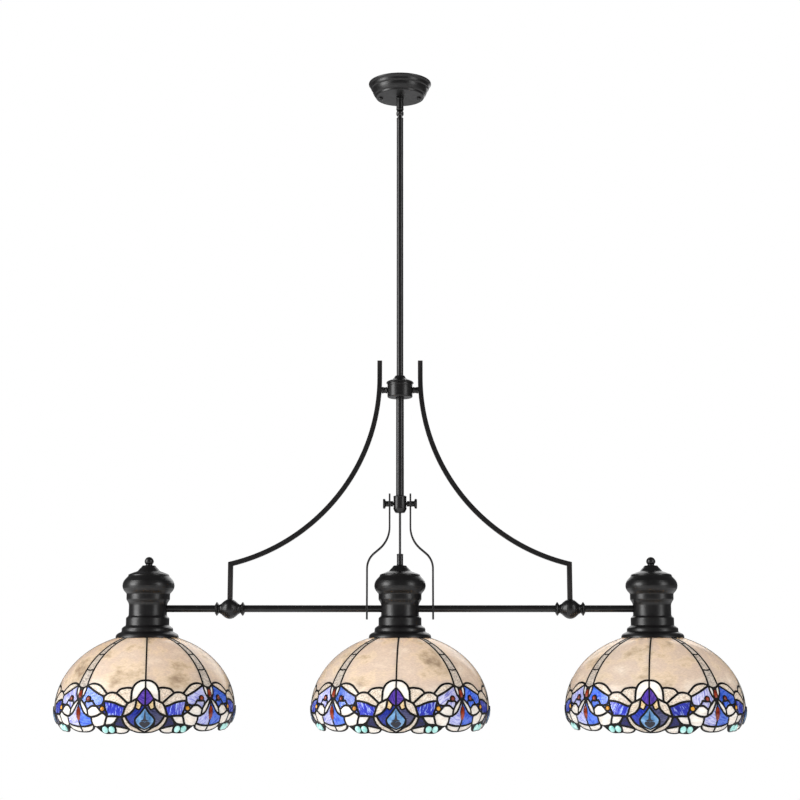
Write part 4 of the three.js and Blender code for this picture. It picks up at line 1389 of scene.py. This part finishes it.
JEWELS = {
    "drop": jewel("jewel_sky", (58, 98, 142), (122, 162, 200), 0.05, 0.2, 12),
    # The drop's heart and ridge: painted shade, a near-black copy of the drop's glass standing for facets
    # that look dark by reflection.
    "drop_painted_shade": jewel("jewel_painted_shade", (3, 7, 20), (10, 20, 42), 0.05, 0.05, 12),
    "amber_jewel": jewel("jewel_amber", (158, 96, 14), (214, 156, 46), 0.06, 0.2, 40),
    "red_jewel": jewel("jewel_garnet", (72, 18, 10), (146, 58, 34), 0.06, 0.2, 20),
    "aqua_pearl": jewel("jewel_aqua", (112, 178, 172), (180, 218, 212), 0.06, 0.1, 40),
}
SHADE_TURN = {"left": 9.2, "centre": -2.5, "right": -12.6}  # degrees, so that each faces the camera
FIRST_SEED = 40


def shade_panes(word, shapes, place, rng):
    """All panes of a shade: each one and its mirror image, four times round."""
    groups = {}
    for name, (_, kind, axis) in PANES.items():
        shape = shapes[name]
        if axis is None:
            copies = [shape, mirrored(shape, 0)]
        else:
            copies = [merged(shape, mirrored(shape, axis))]
        kinds = (kind.split() * 2)[:2]
        for quarter in range(4):
            for copy, sheet in zip(copies, kinds):
                groups.setdefault(sheet, []).append(pane_solid(copy, 90 * quarter, GLASS))
    for kind, panes in groups.items():
        shade_sheet(word, kind, panes, place, rng)


def spots(azimuth, quarter):
    """Where a jewel and its mirror image sit in one quarter. They are one on a mirror line."""
    if azimuth == 45:
        return [45 + 90 * quarter]
    return sorted({azimuth + 90 * quarter, 90 * quarter - azimuth})


def shades():
    """Each shade's panes, then its leads, then its jewels."""
    shapes = pane_shapes()
    leads, lead_faces = shade_leads()
    gems = jewels()
    for index, word in enumerate(LAMPS):
        centre = middle(f"socket_{word}")
        low, _ = box_mm(f"shade_{word}")
        place = placer((centre.x, centre.y, low.z + EQUATOR_HEIGHT), SHADE_TURN[word])
        shade_panes(word, shapes, place, random.Random(FIRST_SEED + index))
        node = [f"shade_{word}"]
        piece(f"shade_{word}_leads", place(leads), lead_faces, LEAD, "fixture", node)
        for kind, kept in gems.items():
            look, sharp = JEWELS[kind]
            solids = []
            for solid, azimuth, height in kept:
                for quarter in range(4):
                    solids += [seated(solid, spot, height) for spot in spots(azimuth, quarter)]
            verts, faces = join(*solids)
            piece(f"shade_{word}_{kind}", place(verts), faces, look, "fixture", node, sharp)


# ---- Stage ----
CAMERA_AT = (0, -2.6255, -1.0071)  # metres
CAMERA_TILT = 9.0903  # degrees above the horizontal
FLOOR_Z = -1.95  # metres
LIGHTS = {  # where it is and the point it aims at, in metres, then its size and watts
    "key_left": ((-3.1, -1.3, -0.1), (0, 0, -0.9), (1.7, 2.8), 150),
    "key_right": ((2.6, -2.0, -0.1), (0, 0, -0.9), (0.9, 2.6), 48),
    "front_fill": ((0, -3.4, -0.6), (0, 0, -0.9), (2.6, 1.8), 44),
    "back_fill": ((0.6, 3.0, 0.6), (0, 0, -0.8), (2.4, 2.0), 30),
}


def camera():
    data = bpy.data.cameras.new("camera")
    data.lens = 67.5
    data.sensor_width = 36
    data.sensor_fit = "HORIZONTAL"
    made = bpy.data.objects.new("camera", data)
    made.location = CAMERA_AT
    made.rotation_euler = (math.radians(90 + CAMERA_TILT), 0, 0)
    bpy.context.scene.collection.objects.link(made)
    bpy.context.scene.camera = made


def area_light(name, at, aim, size, power):
    data = bpy.data.lights.new(name, "AREA")
    data.shape = "RECTANGLE"
    data.size, data.size_y = size
    data.energy = power
    made = bpy.data.objects.new(name, data)
    made.location = at
    made.rotation_euler = (Vector(aim) - Vector(at)).to_track_quat("-Z", "Y").to_euler()
    made.visible_glossy = name != "front_fill"
    bpy.context.scene.collection.objects.link(made)


def world():
    """White behind the lamp, a soft even grey that lights it, and a darker room for it to reflect."""
    made = bpy.data.worlds.new("studio")
    made.use_nodes = True
    tree = made.node_tree
    tree.nodes.clear()
    rays = tree.nodes.new("ShaderNodeLightPath")

    def background(*colour):
        node = tree.nodes.new("ShaderNodeBackground")
        node.inputs["Color"].default_value = (*colour, 1)
        return node.outputs["Background"]

    def either(ray, others, these):
        """One shader for a kind of ray, and another for the rest."""
        mix = tree.nodes.new("ShaderNodeMixShader")
        tree.links.new(rays.outputs[ray], mix.inputs["Fac"])
        tree.links.new(others, mix.inputs[1])
        tree.links.new(these, mix.inputs[2])
        return mix.outputs["Shader"]

    lighting = either("Is Glossy Ray", background(0.85, 0.85, 0.86), background(0.14, 0.14, 0.145))
    output = tree.nodes.new("ShaderNodeOutputWorld")
    tree.links.new(either("Is Camera Ray", lighting, background(1, 1, 1)), output.inputs["Surface"])
    bpy.context.scene.world = made


def floor():
    """A round white floor under the lamp, only for the pictures."""
    verts, faces = revolve([(0, 0), (5600, 0), (6000, -30), (6000, -40), (0, -40)], 96, 0)
    data = bpy.data.meshes.new("floor")
    data.from_pydata([mm(*v) for v in verts], [], faces)
    data.materials.append(floor_paint())
    made = bpy.data.objects.new("floor", data)
    made.location.z = FLOOR_Z
    bpy.context.scene.collection.objects.link(made)


def stage():
    camera()
    world()
    bpy.context.scene.view_settings.view_transform = "Standard"
    for name, settings in LIGHTS.items():
        area_light(name, *settings)
    floor()


stage()
ceiling_plate()
swivel()
stem_and_hub()
for word, side in SIDES.items():
    arm(word, side)
straps()
bars()
cord()
for word in LAMPS:
    lampholder(word)
shades()
